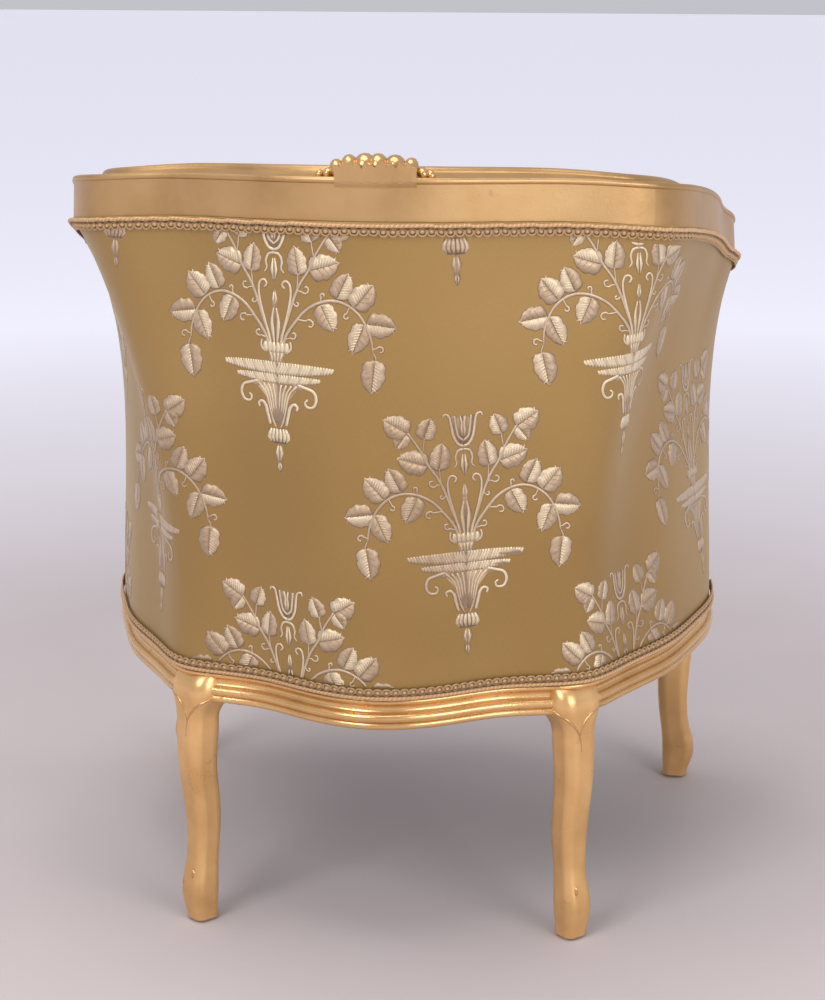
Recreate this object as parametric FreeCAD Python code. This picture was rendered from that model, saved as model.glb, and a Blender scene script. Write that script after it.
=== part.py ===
import FreeCAD, Part
import math
import os
from FreeCAD import Vector

os.makedirs("parts", exist_ok=True)

# A tub shaped bergere chair: a carved and gilded frame, an upholstered wall that runs round the back
# and both sides, and a loose seat cushion. Millimetres, +Z up, the sitter faces -Y.
# The origin lies on the floor under the middle of the chair.

# Plan of the upholstered wall where it meets the seat rail
BACK_Y = 253.0
CORNER_X = 196.0
CORNER_Y = 182.0
SIDE_X = 321.0
SIDE_Y = -92.0
ARM_X = 318.0
ARM_Y = -172.0
FRONT_X = 310.0
PLAN_END_Y = -266.0
TURN_LENGTH = 440.0
TURN_SHARPNESS = 8

# Heights of the seat frame
GLIDE_HEIGHT = 3.0
RAIL_BOTTOM = 243.0
RAIL_HEIGHT = 57.0
COVER_LEDGE = 30.5

# The wall leans outwards from the seat rail to the show wood above it
LEAN_BACK = 86.0
LEAN_CORNER = 91.0
LEAN_SIDE = 28.5
LEAN_ARM = 5.0
SIDE_FLARE = 4.2
WAIST = 7.0
WALL_TOP_BACK = 747.0
WALL_TOP_CORNER = 739.5
WALL_TOP_ARM = 624.0
FALL_START = 141.0
FALL_END = 698.0

# Show wood rail round the top of the wall
TOP_FACE = 33.0
TOP_DEPTH = 38.0
TOP_PROUD = -2.0
TILT_BACK = 3.0
TILT_SIDE = -5.0
TILT_ARM = 0.0
BEAD_RISE = 4.0
SCROLL_RADIUS = 21.0
SCROLL_DROP = 7.0
SCROLL_PROUD = 2.0
SCROLL_ROUNDING = 3.0
ARM_END_Y = -206.0

# Seat rails
RAIL_DEPTH = 30.0
LOWER_BEAD = 7.5
LOWER_BEAD_PROUD = 3.0
UPPER_BEAD = 9.0
UPPER_BEAD_PROUD = 4.5
COVE_HEIGHT = 9.0
COVE_DEPTH = 3.5
COVER_SETBACK = 3.0

# Front of the seat
FRONT_CENTRE_Y = -327.0
FRONT_CORNER_Y = -303.0
FRONT_BLOCK = 46.0

# Legs
REAR_BLOCK_WIDTH = 44.0
REAR_BLOCK_DEPTH = 46.0
REAR_KNEE_INSET = 12.0
REAR_FOOT_X = 190.0
REAR_FOOT_Y = 172.0
FRONT_FOOT_X = 290.5
FRONT_FOOT_Y = -288.0
FRONT_KNEE_INSET = 26.0
STILE_WIDTH = 36.0
STILE_DEPTH = 30.0
STILE_TENON = 6.0

# Arm support
SUPPORT_BACK_Y = -150.0
SUPPORT_BASE = 62.0
SUPPORT_WAIST = 29.0
SUPPORT_HEAD = 48.0
SUPPORT_DEPTH = 32.0
SUPPORT_PROUD = 1.5
SUPPORT_ROUNDING = 9.0
SUPPORT_TENON = 3.0

# Upholstery
COVER_THICKNESS = 2.0
GIMP_WIDTH = 13.0
GIMP_THICKNESS = 2.4
INNER_GIMP_SLOPE = 4.0
WEBBING_THICKNESS = 1.4
WEBBING_WIDTH = 50.0
STRAP_STEP = 74.0
STRAP_SHARES = (0.2, 0.5, 0.8)
FLOOR_STRAP_STEP = 62.0
FIRST_CROSS_STRAP_Y = 92.0
LAST_CROSS_STRAP_Y = -270.0
CROSS_STRAPS = 6
TACK_INSET = 9.0
HESSIAN_THICKNESS = 0.9
TACKING_RAIL_LOW = 332.0
TACKING_RAIL_HEIGHT = 28.0
TACKING_RAIL_DEPTH = 28.0
DECK_THICKNESS = 19.5
PAD_EDGE = 5.0
ARM_PAD_FADE = 70.0
PAD_ROLL = 2.6
SEAT_HALF_WIDTH = 252.0
SEAT_BACK_Y = 165.0
SEAT_BACK_RADIUS = 230.0
SEAT_BACK_HALF_ANGLE = 40.0
DUST_COVER_THICKNESS = 0.8
DUST_COVER_INSET = 23.0

# Loose cushion
CUSHION_SIDE_GAP = 8.0
CUSHION_EDGE = 104.0
CUSHION_CROWN = 24.0
CUSHION_BULGE = 6.0
CUSHION_CORNER = 34.0
CUSHION_FRONT_SET = 6.0
CUSHION_COVER = 2.0
SEAM_RISE = 6.0
UNDER_ROUND = 12.0
CROWN_DEPTH = 120.0
PIPING_RADIUS = 3.5

# Carvings, dowels and glides
CREST_WIDTH = 78.0
CREST_HEIGHT = 16.0
CREST_OFFSET = -9.0
CREST_DEPTH = 24.0
CREST_LOBES = 7
LOBE_RISE = 1.12
CREST_ROOT = 12.0
APRON_CARVING_WIDTH = 92.0
APRON_CARVING_HEIGHT = 40.0
APRON_CARVING_PROUD = 8.0
APRON_CARVING_LOBES = 10
APRON_CARVING_DROP = 12.0
APRON_CARVING_DEPTH = 20.0
DOWEL_RADIUS = 4.0
DOWEL_LENGTH = 36.0
DOWEL_COVER = 3.0
DOWEL_LOW = 17.0
DOWEL_HIGH = 48.0
ARM_DOWEL_SIDE = 14.0
GLIDE_RADIUS = 8.5

# Clearances
FIT = 0.3
SOFT_GAP = 0.6
LAYER_GAP = 1.0
TRIM_GAP = 0.5
SHEET_GAP = 0.2

RAIL_TOP = RAIL_BOTTOM + RAIL_HEIGHT
COVER_LOW = RAIL_BOTTOM + COVER_LEDGE
STATION_STEP = 18.0
FRONT_STATIONS = 13
DECK_FRONT = COVER_SETBACK + LAYER_GAP
REACH = 400.0
UP = Vector(0, 0, 1)


def smooth(t):
    """A soft step from 0 to 1."""
    t = min(max(t, 0.0), 1.0)
    return t * t * (3 - 2 * t)


def between(a, b, t):
    return a + (b - a) * t


# Plan of the wall, a curve through named points, mirrored about X = 0.
# The shares place the points of the serpentine back and of the swelling sides.
SERPENTINE = [(0.316, 0.76), (0.612, 0.31), (0.837, 0.148)]
SWELL = [(0.292, 0.179), (0.654, 0.464), (0.854, 0.722)]


def plan_points():
    half = [Vector(0, BACK_Y, 0)]
    for across, back in SERPENTINE:
        half.append(Vector(CORNER_X * across, between(CORNER_Y, BACK_Y, back), 0))
    half.append(Vector(CORNER_X, CORNER_Y, 0))
    for across, forward in SWELL:
        half.append(Vector(between(CORNER_X, SIDE_X, across), between(CORNER_Y, SIDE_Y, forward), 0))
    half.append(Vector(SIDE_X, SIDE_Y, 0))
    half.append(Vector(ARM_X, ARM_Y, 0))
    half.append(Vector(FRONT_X, PLAN_END_Y, 0))
    mirrored = [Vector(-p.x, p.y, 0) for p in reversed(half[1:])]
    return mirrored + half


plan = Part.BSplineCurve()
plan.interpolate(Points=plan_points(), PeriodicFlag=False)
HALF_PLAN = plan.length() / 2


def plan_point(s):
    """Point of the plan at distance s from the middle of the back, positive towards +X."""
    return plan.value(plan.parameterAtDistance(HALF_PLAN + s, plan.FirstParameter))


def station_where(test):
    """Distance from the middle of the back where the test of a plan point turns true."""
    low, high = 0.0, HALF_PLAN
    for _ in range(40):
        middle = (low + high) / 2
        if test(plan_point(middle)):
            high = middle
        else:
            low = middle
    return high


def station_at_y(y):
    return station_where(lambda p: p.y < y)


S_CORNER = station_where(lambda p: p.x > CORNER_X)
S_SUPPORT = station_at_y(SUPPORT_BACK_Y)
S_ARM_END = station_at_y(ARM_END_Y)
FRONT_BLOCK_BACK_Y = FRONT_CORNER_Y + FRONT_BLOCK
S_RAIL_END = station_at_y(FRONT_BLOCK_BACK_Y)


def outward(s):
    """Level direction from the seat towards the outside at a station."""
    share = abs(s) / TURN_LENGTH
    angle = math.pi / 2 * share / (1 + share ** TURN_SHARPNESS) ** (1 / TURN_SHARPNESS)
    return Vector(math.copysign(math.sin(angle), s), math.cos(angle), 0)


def wall_top(s):
    """Height of the top of the upholstered wall."""
    s = abs(s)
    rise = (WALL_TOP_BACK - WALL_TOP_CORNER) * (1 - smooth(s / S_CORNER))
    fall = (WALL_TOP_CORNER - WALL_TOP_ARM) * smooth((s - FALL_START) / (FALL_END - FALL_START))
    return WALL_TOP_CORNER + rise - fall


def lean(s):
    """How far the top of the wall stands outside its foot."""
    s = abs(s)
    to_corner = (LEAN_CORNER - LEAN_BACK) * smooth(s / S_CORNER)
    to_side = (LEAN_SIDE - LEAN_CORNER) * smooth((s - S_CORNER) / (TURN_LENGTH - S_CORNER))
    to_arm = (LEAN_ARM - LEAN_SIDE) * smooth((s - TURN_LENGTH) / (S_SUPPORT - TURN_LENGTH))
    return LEAN_BACK + to_corner + to_side + to_arm


def side_share(s):
    """0 at the back and 1 along the sides."""
    return smooth((abs(s) - 0.75 * S_CORNER) / (TURN_LENGTH - S_CORNER))


def flare(s, z):
    """How far the outside of the wall stands outside the plan at height z."""
    height = min(max((z - COVER_LOW) / (wall_top(s) - COVER_LOW), 0.0), 1.0)
    side = side_share(s)
    waist = WAIST * side * math.sin(math.pi * height ** 1.4)
    return lean(s) * height ** (1 + SIDE_FLARE * side) - waist


def tilt(s):
    """Angle of the show wood away from upright."""
    s = abs(s)
    to_side = (TILT_SIDE - TILT_BACK) * smooth(s / TURN_LENGTH)
    to_arm = (TILT_ARM - TILT_SIDE) * smooth((s - TURN_LENGTH) / (S_SUPPORT - TURN_LENGTH))
    return math.radians(TILT_BACK + to_side + to_arm)


def at_station(s, reach, z):
    """Point in the upright plane of a station: reach is measured outwards from the plan."""
    return plan_point(s) + outward(s) * reach + UP * z


def wall_point(s, z, inset):
    return at_station(s, flare(s, z) - inset, z)


# Wires and lofts
def is_straight(first, middle, last):
    return (middle - first).cross(last - first).Length < 1e-4 * (last - first).Length ** 2


def closed_wire(points, pieces):
    """Wire from pieces: two indexes are a line, three are an arc and more are a smooth curve."""
    edges = []
    for piece in pieces:
        picked = [points[i] for i in piece]
        if len(picked) == 2 or (len(picked) == 3 and is_straight(*picked)):
            edges.append(Part.makeLine(picked[0], picked[-1]))
        elif len(picked) == 3:
            edges.append(Part.Arc(*picked).toShape())
        else:
            curve = Part.BSplineCurve()
            curve.interpolate(Points=picked, PeriodicFlag=False)
            edges.append(curve.toShape())
    return Part.Wire(edges)


def polygon(points):
    return Part.makePolygon(points + [points[0]])


def spread(start, end, count):
    return [between(start, end, i / (count - 1)) for i in range(count)]


def stations(s_from, s_to):
    """Stations from one end to the other, on one common grid so that all layers follow each other."""
    first = math.floor(s_from / STATION_STEP + 0.6) + 1
    last = math.ceil(s_to / STATION_STEP - 0.6) - 1
    return [s_from] + [i * STATION_STEP for i in range(first, last + 1)] + [s_to]


def loft(wires):
    return Part.makeLoft(wires, True, False)


def prism(wire, height):
    return Part.Face(wire).extrude(UP * height)


def mirrored(shape):
    return shape.mirror(Vector(0, 0, 0), Vector(1, 0, 0))


def fuse(shapes):
    joined = shapes[0]
    for shape in shapes[1:]:
        joined = joined.fuse(shape)
    joined = joined.removeSplitter()
    return joined.Solids[0] if len(joined.Solids) == 1 else joined


def wall_layer(s_from, s_to, inset_out, inset_in, low, high, levels=7):
    """A layer of the wall between two insets; low and high give its heights at a station."""
    wires = []
    for s in stations(s_from, s_to):
        heights = spread(low(s), high(s), levels)
        outer = [wall_point(s, z, inset_out) for z in heights]
        inner = [wall_point(s, z, inset_in) for z in reversed(heights)]
        last = 2 * levels - 1
        pieces = [range(levels), (levels - 1, levels), range(levels, 2 * levels), (last, 0)]
        wires.append(closed_wire(outer + inner, pieces))
    return loft(wires)


parts = {}


def add_pair(name, shape):
    """The shape is on the +X side, which is the sitter's left."""
    parts[name + "_left"] = shape
    parts[name + "_right"] = mirrored(shape)


# Show wood: crest rail and arm rails
def top_profile(s):
    """Moulded section of the show wood: a tall face, a bead on each edge and a hollow between."""
    angle = tilt(s)
    slope = math.tan(angle)
    base = flare(s, wall_top(s))
    inner = TOP_PROUD - TOP_DEPTH
    hollow = (TOP_PROUD + inner) / 2
    shape = [
        (TOP_PROUD, TOP_PROUD * slope),
        (TOP_PROUD, TOP_FACE),
        (TOP_PROUD + 1.6, TOP_FACE + 3.4),
        (TOP_PROUD - 3.0, TOP_FACE + 5.4),
        (hollow, TOP_FACE + 3.4),
        (inner + 10.0, TOP_FACE + 6.0),
        (inner + 3.0, TOP_FACE + 6.0 + BEAD_RISE),
        (inner, TOP_FACE + 3.0),
        (inner, inner * slope),
    ]
    points = []
    for out, up in shape:
        reach = base + out * math.cos(angle) + up * math.sin(angle)
        height = wall_top(s) + up * math.cos(angle) - out * math.sin(angle)
        points.append(at_station(s, reach, height))
    pieces = [(0, 1), (1, 2, 3), (3, 4, 5), (5, 6, 7), (7, 8), (8, 0)]
    return closed_wire(points, pieces)


def make_arm_rail():
    rail = loft([top_profile(s) for s in stations(S_CORNER, S_ARM_END)])
    centre = at_station(S_ARM_END, 0, wall_top(S_ARM_END) + SCROLL_RADIUS - SCROLL_DROP)
    centre = centre + Vector(TOP_PROUD + LEAN_ARM + SCROLL_PROUD - TOP_DEPTH, 0, 0)
    scroll = Part.makeCylinder(SCROLL_RADIUS, TOP_DEPTH, centre, Vector(1, 0, 0))
    scroll = scroll.makeFillet(SCROLL_ROUNDING, scroll.Edges)
    return fuse([rail, scroll])


parts["top_rail"] = loft([top_profile(s) for s in stations(-S_CORNER, S_CORNER)])
add_pair("arm_rail", make_arm_rail())


# Seat rails
def rail_outline():
    """Moulded section of a seat rail: cove, two beads and the ledge that the cover is tacked to."""
    low = RAIL_BOTTOM + LOWER_BEAD
    upper = low + UPPER_BEAD
    cove = upper + COVE_HEIGHT
    lip = COVER_LOW - TRIM_GAP
    points = [
        (0, RAIL_BOTTOM),
        (LOWER_BEAD_PROUD, (RAIL_BOTTOM + low) / 2),
        (LOWER_BEAD_PROUD - 2.5, low),
        (UPPER_BEAD_PROUD, (low + upper) / 2),
        (-1.0, upper),
        (-COVE_DEPTH, (upper + cove) / 2),
        (0, cove),
        (1.2, (cove + lip) / 2),
        (0, lip),
        (-COVER_SETBACK, lip),
        (-COVER_SETBACK, RAIL_TOP),
        (-RAIL_DEPTH, RAIL_TOP),
        (-RAIL_DEPTH, RAIL_BOTTOM),
    ]
    pieces = [(0, 1, 2), (2, 3, 4), (4, 5, 6), (6, 7, 8)] + [(i, i + 1) for i in range(8, 12)] + [(12, 0)]
    return points, pieces


def rail_wire(place, depth=RAIL_DEPTH):
    """The rail's section placed by a function of reach and height."""
    points, pieces = rail_outline()
    deep = [(min(out, -depth) if out == -RAIL_DEPTH else out, z) for out, z in points]
    return closed_wire([place(out, z) for out, z in deep], pieces)


def rail_loft(s_from, s_to, depth=RAIL_DEPTH):
    return loft([rail_wire(lambda out, z, s=s: at_station(s, out, z), depth)
                 for s in stations(s_from, s_to)])


S_BLOCK_IN = S_CORNER - REAR_BLOCK_WIDTH / 2
S_BLOCK_OUT = S_CORNER + REAR_BLOCK_WIDTH / 2
FRONT_INNER_X = FRONT_X - FRONT_BLOCK


def front_y(x):
    """Line of the seat's front edge, bowed forwards in the middle."""
    return between(FRONT_CENTRE_Y, FRONT_CORNER_Y, smooth(abs(x) / FRONT_INNER_X))


def front_wire(x):
    return rail_wire(lambda out, z: Vector(x, front_y(x) - out, z))


back_rail = rail_loft(-S_BLOCK_IN, S_BLOCK_IN)
side_rail = rail_loft(S_BLOCK_OUT, S_RAIL_END)
front_rail = loft([front_wire(x) for x in spread(-FRONT_INNER_X, FRONT_INNER_X, FRONT_STATIONS)])


# Legs
def rounded_section(centre, half_x, half_y, turn):
    """Rounded square of four lines and four arcs, turned about its middle."""
    rounding = 0.62 * min(half_x, half_y)
    spots = []
    for sign_x, sign_y in ((1, 1), (-1, 1), (-1, -1), (1, -1)):
        corner = Vector(sign_x * half_x, sign_y * half_y, 0)
        hub = Vector(sign_x * (half_x - rounding), sign_y * (half_y - rounding), 0)
        diagonal = Vector(sign_x, sign_y, 0).normalize() * rounding
        first = Vector(corner.x, hub.y, 0)
        last = Vector(hub.x, corner.y, 0)
        if sign_x != sign_y:
            first, last = last, first
        spots += [first, hub + diagonal, last]
    spin = FreeCAD.Rotation(UP, turn)
    points = [centre + spin.multVec(p) for p in spots]
    pieces = []
    for i in range(0, 12, 3):
        pieces += [(i, i + 1, i + 2), (i + 2, (i + 3) % 12)]
    return closed_wire(points, pieces)


def make_leg(foot, top, levels, turn):
    """Cabriole leg: levels hold a height, the swing of the middle line and the half width."""
    wires = []
    direction = Vector(foot.x, foot.y, 0).normalize()
    for height, swing, half in levels:
        share = (height - GLIDE_HEIGHT) / (RAIL_BOTTOM - GLIDE_HEIGHT)
        middle = foot + (top - foot) * min(share, 1.0)
        centre = Vector(middle.x, middle.y, 0) + direction * swing + UP * height
        wires.append(rounded_section(centre, half, half, turn))
    return loft(wires)


# Height, swing outwards and half width of a leg, from the floor up to the knee that laps the rail
REAR_LEVELS = [
    (GLIDE_HEIGHT, -1.0, 13.3),
    (14.0, 0.0, 14.4),
    (34.0, 1.0, 16.2),
    (60.0, -1.5, 14.6),
    (95.0, -4.0, 14.8),
    (135.0, -2.0, 16.1),
    (170.0, 1.5, 16.8),
    (205.0, 1.0, 18.2),
    (RAIL_BOTTOM - 8.0, -2.0, 21.5),
    (RAIL_BOTTOM + 4.0, -6.5, 26.5),
    (RAIL_BOTTOM + 16.0, -9.0, 27.0),
    (RAIL_BOTTOM + 27.0, -14.0, 24.0),
]
FRONT_LEVELS = [
    (GLIDE_HEIGHT, 0.0, 14.0),
    (14.0, 2.0, 15.5),
    (34.0, 6.0, 18.5),
    (55.0, 3.0, 17.0),
    (85.0, -2.0, 16.5),
    (125.0, -2.0, 18.0),
    (170.0, 2.0, 20.5),
    (205.0, 4.0, 22.0),
    (RAIL_BOTTOM - 8.0, 5.0, 24.0),
    (RAIL_BOTTOM + 6.0, 7.0, 27.0),
    (RAIL_BOTTOM + 18.0, 5.0, 26.5),
    (RAIL_BOTTOM + 27.0, -2.0, 23.0),
]


def make_rear_leg():
    block = rail_loft(S_BLOCK_IN, S_BLOCK_OUT, REAR_BLOCK_DEPTH)
    top = at_station(S_CORNER, -REAR_KNEE_INSET, 0)
    turn = math.degrees(math.atan2(outward(S_CORNER).y, outward(S_CORNER).x))
    leg = make_leg(Vector(REAR_FOOT_X, REAR_FOOT_Y, 0), top, REAR_LEVELS, turn)
    half = STILE_WIDTH / 2
    inset = COVER_THICKNESS + LAYER_GAP
    stile = wall_layer(S_CORNER - half, S_CORNER + half, inset, inset + STILE_DEPTH,
                       lambda s: RAIL_TOP - STILE_TENON, lambda s: wall_top(s) + STILE_TENON)
    stile = stile.cut(parts["top_rail"]).cut(parts["arm_rail_left"])
    stile = max(stile.Solids, key=lambda solid: solid.Volume)
    return fuse([block, leg, stile])


def make_front_leg():
    """The moulding turns the corner, so the block is where a side and a front section cross."""
    side = rail_wire(lambda out, z: Vector(FRONT_X + out, FRONT_BLOCK_BACK_Y, z), FRONT_BLOCK)
    side = Part.Face(side).extrude(Vector(0, -2 * FRONT_BLOCK, 0))
    front = rail_wire(lambda out, z: Vector(FRONT_INNER_X, FRONT_CORNER_Y - out, z), FRONT_BLOCK)
    front = Part.Face(front).extrude(Vector(2 * FRONT_BLOCK, 0, 0))
    block = side.common(front)
    top = Vector(FRONT_X - FRONT_KNEE_INSET, FRONT_CORNER_Y + FRONT_KNEE_INSET, 0)
    leg = make_leg(Vector(FRONT_FOOT_X, FRONT_FOOT_Y, 0), top, FRONT_LEVELS, 0)
    return fuse([block, leg])


rear_leg = make_rear_leg()
front_leg = make_front_leg()


# Arm support, wide at its foot and at its head, standing on the side rail
def make_arm_support():
    foot, head = RAIL_TOP, wall_top(S_SUPPORT) + SUPPORT_TENON
    wires = []
    for share in (0.0, 0.12, 0.27, 0.42, 0.6, 0.78, 0.9, 1.0):
        z = between(foot, head, share)
        sag = (1 - smooth(share / 0.55)) * (SUPPORT_BASE - SUPPORT_WAIST)
        swell = smooth((share - 0.6) / 0.4) * (SUPPORT_HEAD - SUPPORT_WAIST)
        width = SUPPORT_WAIST + sag + swell
        outer = flare(S_SUPPORT, z) + SUPPORT_PROUD
        x = plan_point(S_SUPPORT).x + outer - SUPPORT_DEPTH / 2
        centre = Vector(x, SUPPORT_BACK_Y - width / 2, z)
        wires.append(support_section(centre, SUPPORT_DEPTH / 2, width / 2))
    seated = loft(wires).cut(parts["arm_rail_left"])
    return max(seated.Solids, key=lambda solid: solid.Volume)


def support_section(centre, half_x, half_y):
    """Square at the back, where the cover meets it, and rounded at the front."""
    r = SUPPORT_ROUNDING
    k = r * (1 - math.sqrt(0.5))
    spots = [
        (half_x, half_y), (-half_x, half_y), (-half_x, r - half_y), (k - half_x, k - half_y),
        (r - half_x, -half_y), (half_x - r, -half_y), (half_x - k, k - half_y), (half_x, r - half_y),
    ]
    points = [centre + Vector(x, y, 0) for x, y in spots]
    return closed_wire(points, [(0, 1), (1, 2), (2, 3, 4), (4, 5), (5, 6, 7), (7, 0)])


arm_support = make_arm_support()


# Dowels across each joint of the seat frame, in holes of their own size
def dowel(point, direction):
    start = point - direction * (DOWEL_LENGTH / 2)
    return Part.makeCylinder(DOWEL_RADIUS, DOWEL_LENGTH, start, direction)


def seat_dowels():
    pins = []
    inset = RAIL_DEPTH - DOWEL_RADIUS - DOWEL_COVER
    for z in (RAIL_BOTTOM + DOWEL_LOW, RAIL_BOTTOM + DOWEL_HIGH):
        for s in (S_BLOCK_IN, S_BLOCK_OUT):
            across = outward(s).cross(UP)
            pins.append(dowel(at_station(s, -inset, z), across))
        side_x = plan_point(S_RAIL_END).x - inset
        pins.append(dowel(Vector(side_x, FRONT_BLOCK_BACK_Y, z), Vector(0, 1, 0)))
        pins.append(dowel(Vector(FRONT_INNER_X, FRONT_CORNER_Y + inset, z), Vector(1, 0, 0)))
    return pins


def arm_dowels():
    x = plan_point(S_SUPPORT).x - SUPPORT_DEPTH / 2
    foot_y = SUPPORT_BACK_Y - SUPPORT_BASE / 2
    head_y = SUPPORT_BACK_Y - SUPPORT_HEAD / 2
    head = Vector(x + flare(S_SUPPORT, wall_top(S_SUPPORT)), head_y, wall_top(S_SUPPORT))
    pins = [dowel(Vector(x, foot_y + side, RAIL_TOP), UP) for side in (-ARM_DOWEL_SIDE, ARM_DOWEL_SIDE)]
    return pins + [dowel(head, UP)]


seat_pins = seat_dowels()
seat_pins += [mirrored(pin) for pin in seat_pins]
arm_pins = arm_dowels()
arm_pins += [mirrored(pin) for pin in arm_pins]
joint_pins = Part.makeCompound(seat_pins + arm_pins)


def drilled(shape):
    return shape.cut(joint_pins).Solids[0]


# The rails are coped round the knees of the legs
parts["seat_rail_back"] = drilled(back_rail.cut(rear_leg).cut(mirrored(rear_leg)))
add_pair("seat_rail", drilled(side_rail.cut(rear_leg).cut(front_leg)))
parts["seat_rail_front"] = drilled(front_rail.cut(front_leg).cut(mirrored(front_leg)))
add_pair("leg_rear", drilled(rear_leg))
add_pair("leg_front", drilled(front_leg))
add_pair("arm_support", drilled(arm_support))
add_pair("arm_rail", drilled(parts["arm_rail_left"]))
parts["seat_frame_dowels"] = Part.makeCompound(seat_pins)
parts["arm_dowels"] = Part.makeCompound(arm_pins)


# Glides under the feet
def glide(x, y):
    return Part.makeCylinder(GLIDE_RADIUS, GLIDE_HEIGHT, Vector(x, y, 0), UP)


glides = [glide(REAR_FOOT_X - 1, REAR_FOOT_Y - 1), glide(FRONT_FOOT_X, FRONT_FOOT_Y)]
parts["foot_glides"] = Part.makeCompound(glides + [mirrored(g) for g in glides])


# Tacking rails between the stiles and the arm supports, hidden in the wall
def tacking_rail(s_from, s_to):
    inset = COVER_THICKNESS + LAYER_GAP
    return wall_layer(s_from, s_to, inset, inset + TACKING_RAIL_DEPTH, lambda s: TACKING_RAIL_LOW,
                      lambda s: TACKING_RAIL_LOW + TACKING_RAIL_HEIGHT, levels=4)


half_stile = STILE_WIDTH / 2
parts["tacking_rail_back"] = tacking_rail(-S_CORNER + half_stile, S_CORNER - half_stile)
add_pair("tacking_rail", tacking_rail(S_CORNER + half_stile, S_SUPPORT).cut(arm_support))

# Outside covers, from the ledge of the seat rail up to the show wood
parts["outside_back_cover"] = wall_layer(-S_CORNER, S_CORNER, 0, COVER_THICKNESS, lambda s: COVER_LOW,
                                         lambda s: wall_top(s) - FIT)
arm_cover = wall_layer(S_CORNER, S_SUPPORT, 0, COVER_THICKNESS, lambda s: COVER_LOW,
                       lambda s: wall_top(s) - FIT)
add_pair("outside_arm_cover", arm_cover.cut(arm_support))


# Gimp braid along the lower and upper edge of the outside cover
def outside_gimp(low):
    return wall_layer(-S_SUPPORT, S_SUPPORT, -GIMP_THICKNESS - TRIM_GAP, -TRIM_GAP, low,
                      lambda s: low(s) + GIMP_WIDTH, levels=4)


parts["gimp_lower"] = outside_gimp(lambda s: COVER_LOW)
parts["gimp_upper"] = outside_gimp(lambda s: wall_top(s) - FIT - GIMP_WIDTH)


# Plan of the seat inside the pads: a back arc, two side arcs, straight sides and a bowed front
def seat_wire(inset, z, front_set, corner):
    angle = math.radians(SEAT_BACK_HALF_ANGLE)
    sine, cosine = math.sin(angle), math.cos(angle)
    side_radius = (SEAT_HALF_WIDTH - SEAT_BACK_RADIUS * sine) / (1 - sine)
    back_hub = Vector(0, SEAT_BACK_Y - SEAT_BACK_RADIUS, z)
    side_hub = back_hub + Vector(sine, cosine, 0) * (SEAT_BACK_RADIUS - side_radius)
    back_r, side_r = SEAT_BACK_RADIUS - inset, side_radius - inset
    middle = (angle + math.pi / 2) / 2
    join = back_hub + Vector(sine, cosine, 0) * back_r
    side_middle = side_hub + Vector(math.sin(middle), math.cos(middle), 0) * side_r
    side_end = side_hub + Vector(side_r, 0, 0)
    corner_y = FRONT_CORNER_Y + front_set
    k = corner * (1 - math.sqrt(0.5))
    straight_end = Vector(side_end.x, corner_y + corner, z)
    corner_middle = Vector(side_end.x - k, corner_y + k, z)
    front_start = Vector(side_end.x - corner, corner_y, z)
    front_middle = Vector(0, FRONT_CENTRE_Y + front_set, z)
    half = [join, side_middle, side_end, straight_end, corner_middle, front_start]
    other = [Vector(-p.x, p.y, p.z) for p in half]
    points = half + [front_middle] + other[::-1] + [back_hub + Vector(0, back_r, 0)]
    pieces = [(0, 1, 2), (2, 3), (3, 4, 5), (5, 6, 7), (7, 8, 9), (9, 10), (10, 11, 12), (12, 13, 0)]
    return closed_wire(points, pieces)


# Inside pads: thick in the middle, thin where they are tacked round their edges
BACK_LAYER = COVER_THICKNESS + LAYER_GAP + STILE_DEPTH
STRAP_INSET = BACK_LAYER + LAYER_GAP
PAD_INSET = STRAP_INSET + 2 * WEBBING_THICKNESS + 2 * TRIM_GAP
WEB_LOW = RAIL_TOP + SHEET_GAP
WEB_MIDDLE = WEB_LOW + WEBBING_THICKNESS + SHEET_GAP
HESSIAN_LOW = WEB_MIDDLE + WEBBING_THICKNESS + SHEET_GAP
DECK_LOW = HESSIAN_LOW + HESSIAN_THICKNESS + SHEET_GAP
DECK_TOP = DECK_LOW + DECK_THICKNESS
PAD_LOW = DECK_TOP + FIT


def seat_side_point(s):
    """Point of the seat plan that faces a station of the wall."""
    angle = math.radians(SEAT_BACK_HALF_ANGLE)
    sine, cosine = math.sin(angle), math.cos(angle)
    side_radius = (SEAT_HALF_WIDTH - SEAT_BACK_RADIUS * sine) / (1 - sine)
    back_hub = Vector(0, SEAT_BACK_Y - SEAT_BACK_RADIUS, 0)
    side_hub = back_hub + Vector(sine, cosine, 0) * (SEAT_BACK_RADIUS - side_radius)
    back_arc = SEAT_BACK_RADIUS * angle
    side_arc = side_radius * (math.pi / 2 - angle)
    length = abs(s) * (back_arc + side_arc + side_hub.y - SUPPORT_BACK_Y) / S_SUPPORT
    if length < back_arc:
        turn = length / SEAT_BACK_RADIUS
        point = back_hub + Vector(math.sin(turn), math.cos(turn), 0) * SEAT_BACK_RADIUS
    elif length < back_arc + side_arc:
        turn = angle + (length - back_arc) / side_radius
        point = side_hub + Vector(math.sin(turn), math.cos(turn), 0) * side_radius
    else:
        point = side_hub + Vector(side_radius, back_arc + side_arc - length, 0)
    return Vector(math.copysign(point.x, s), point.y, 0)


def pad_thickness(s):
    """Thickness of the pad at its foot, from the frame to the seat plan."""
    gap = plan_point(s) - seat_side_point(s)
    return max(gap.dot(outward(s)) - PAD_INSET, 2 * PAD_EDGE)


def pad_face(s, share, edge):
    """Inset of the pad's soft face at a share of its height; edge is 1 at a tacked end."""
    full = between(pad_thickness(s), PAD_EDGE, share ** PAD_ROLL)
    return PAD_INSET + between(full, PAD_EDGE, edge)


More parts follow.
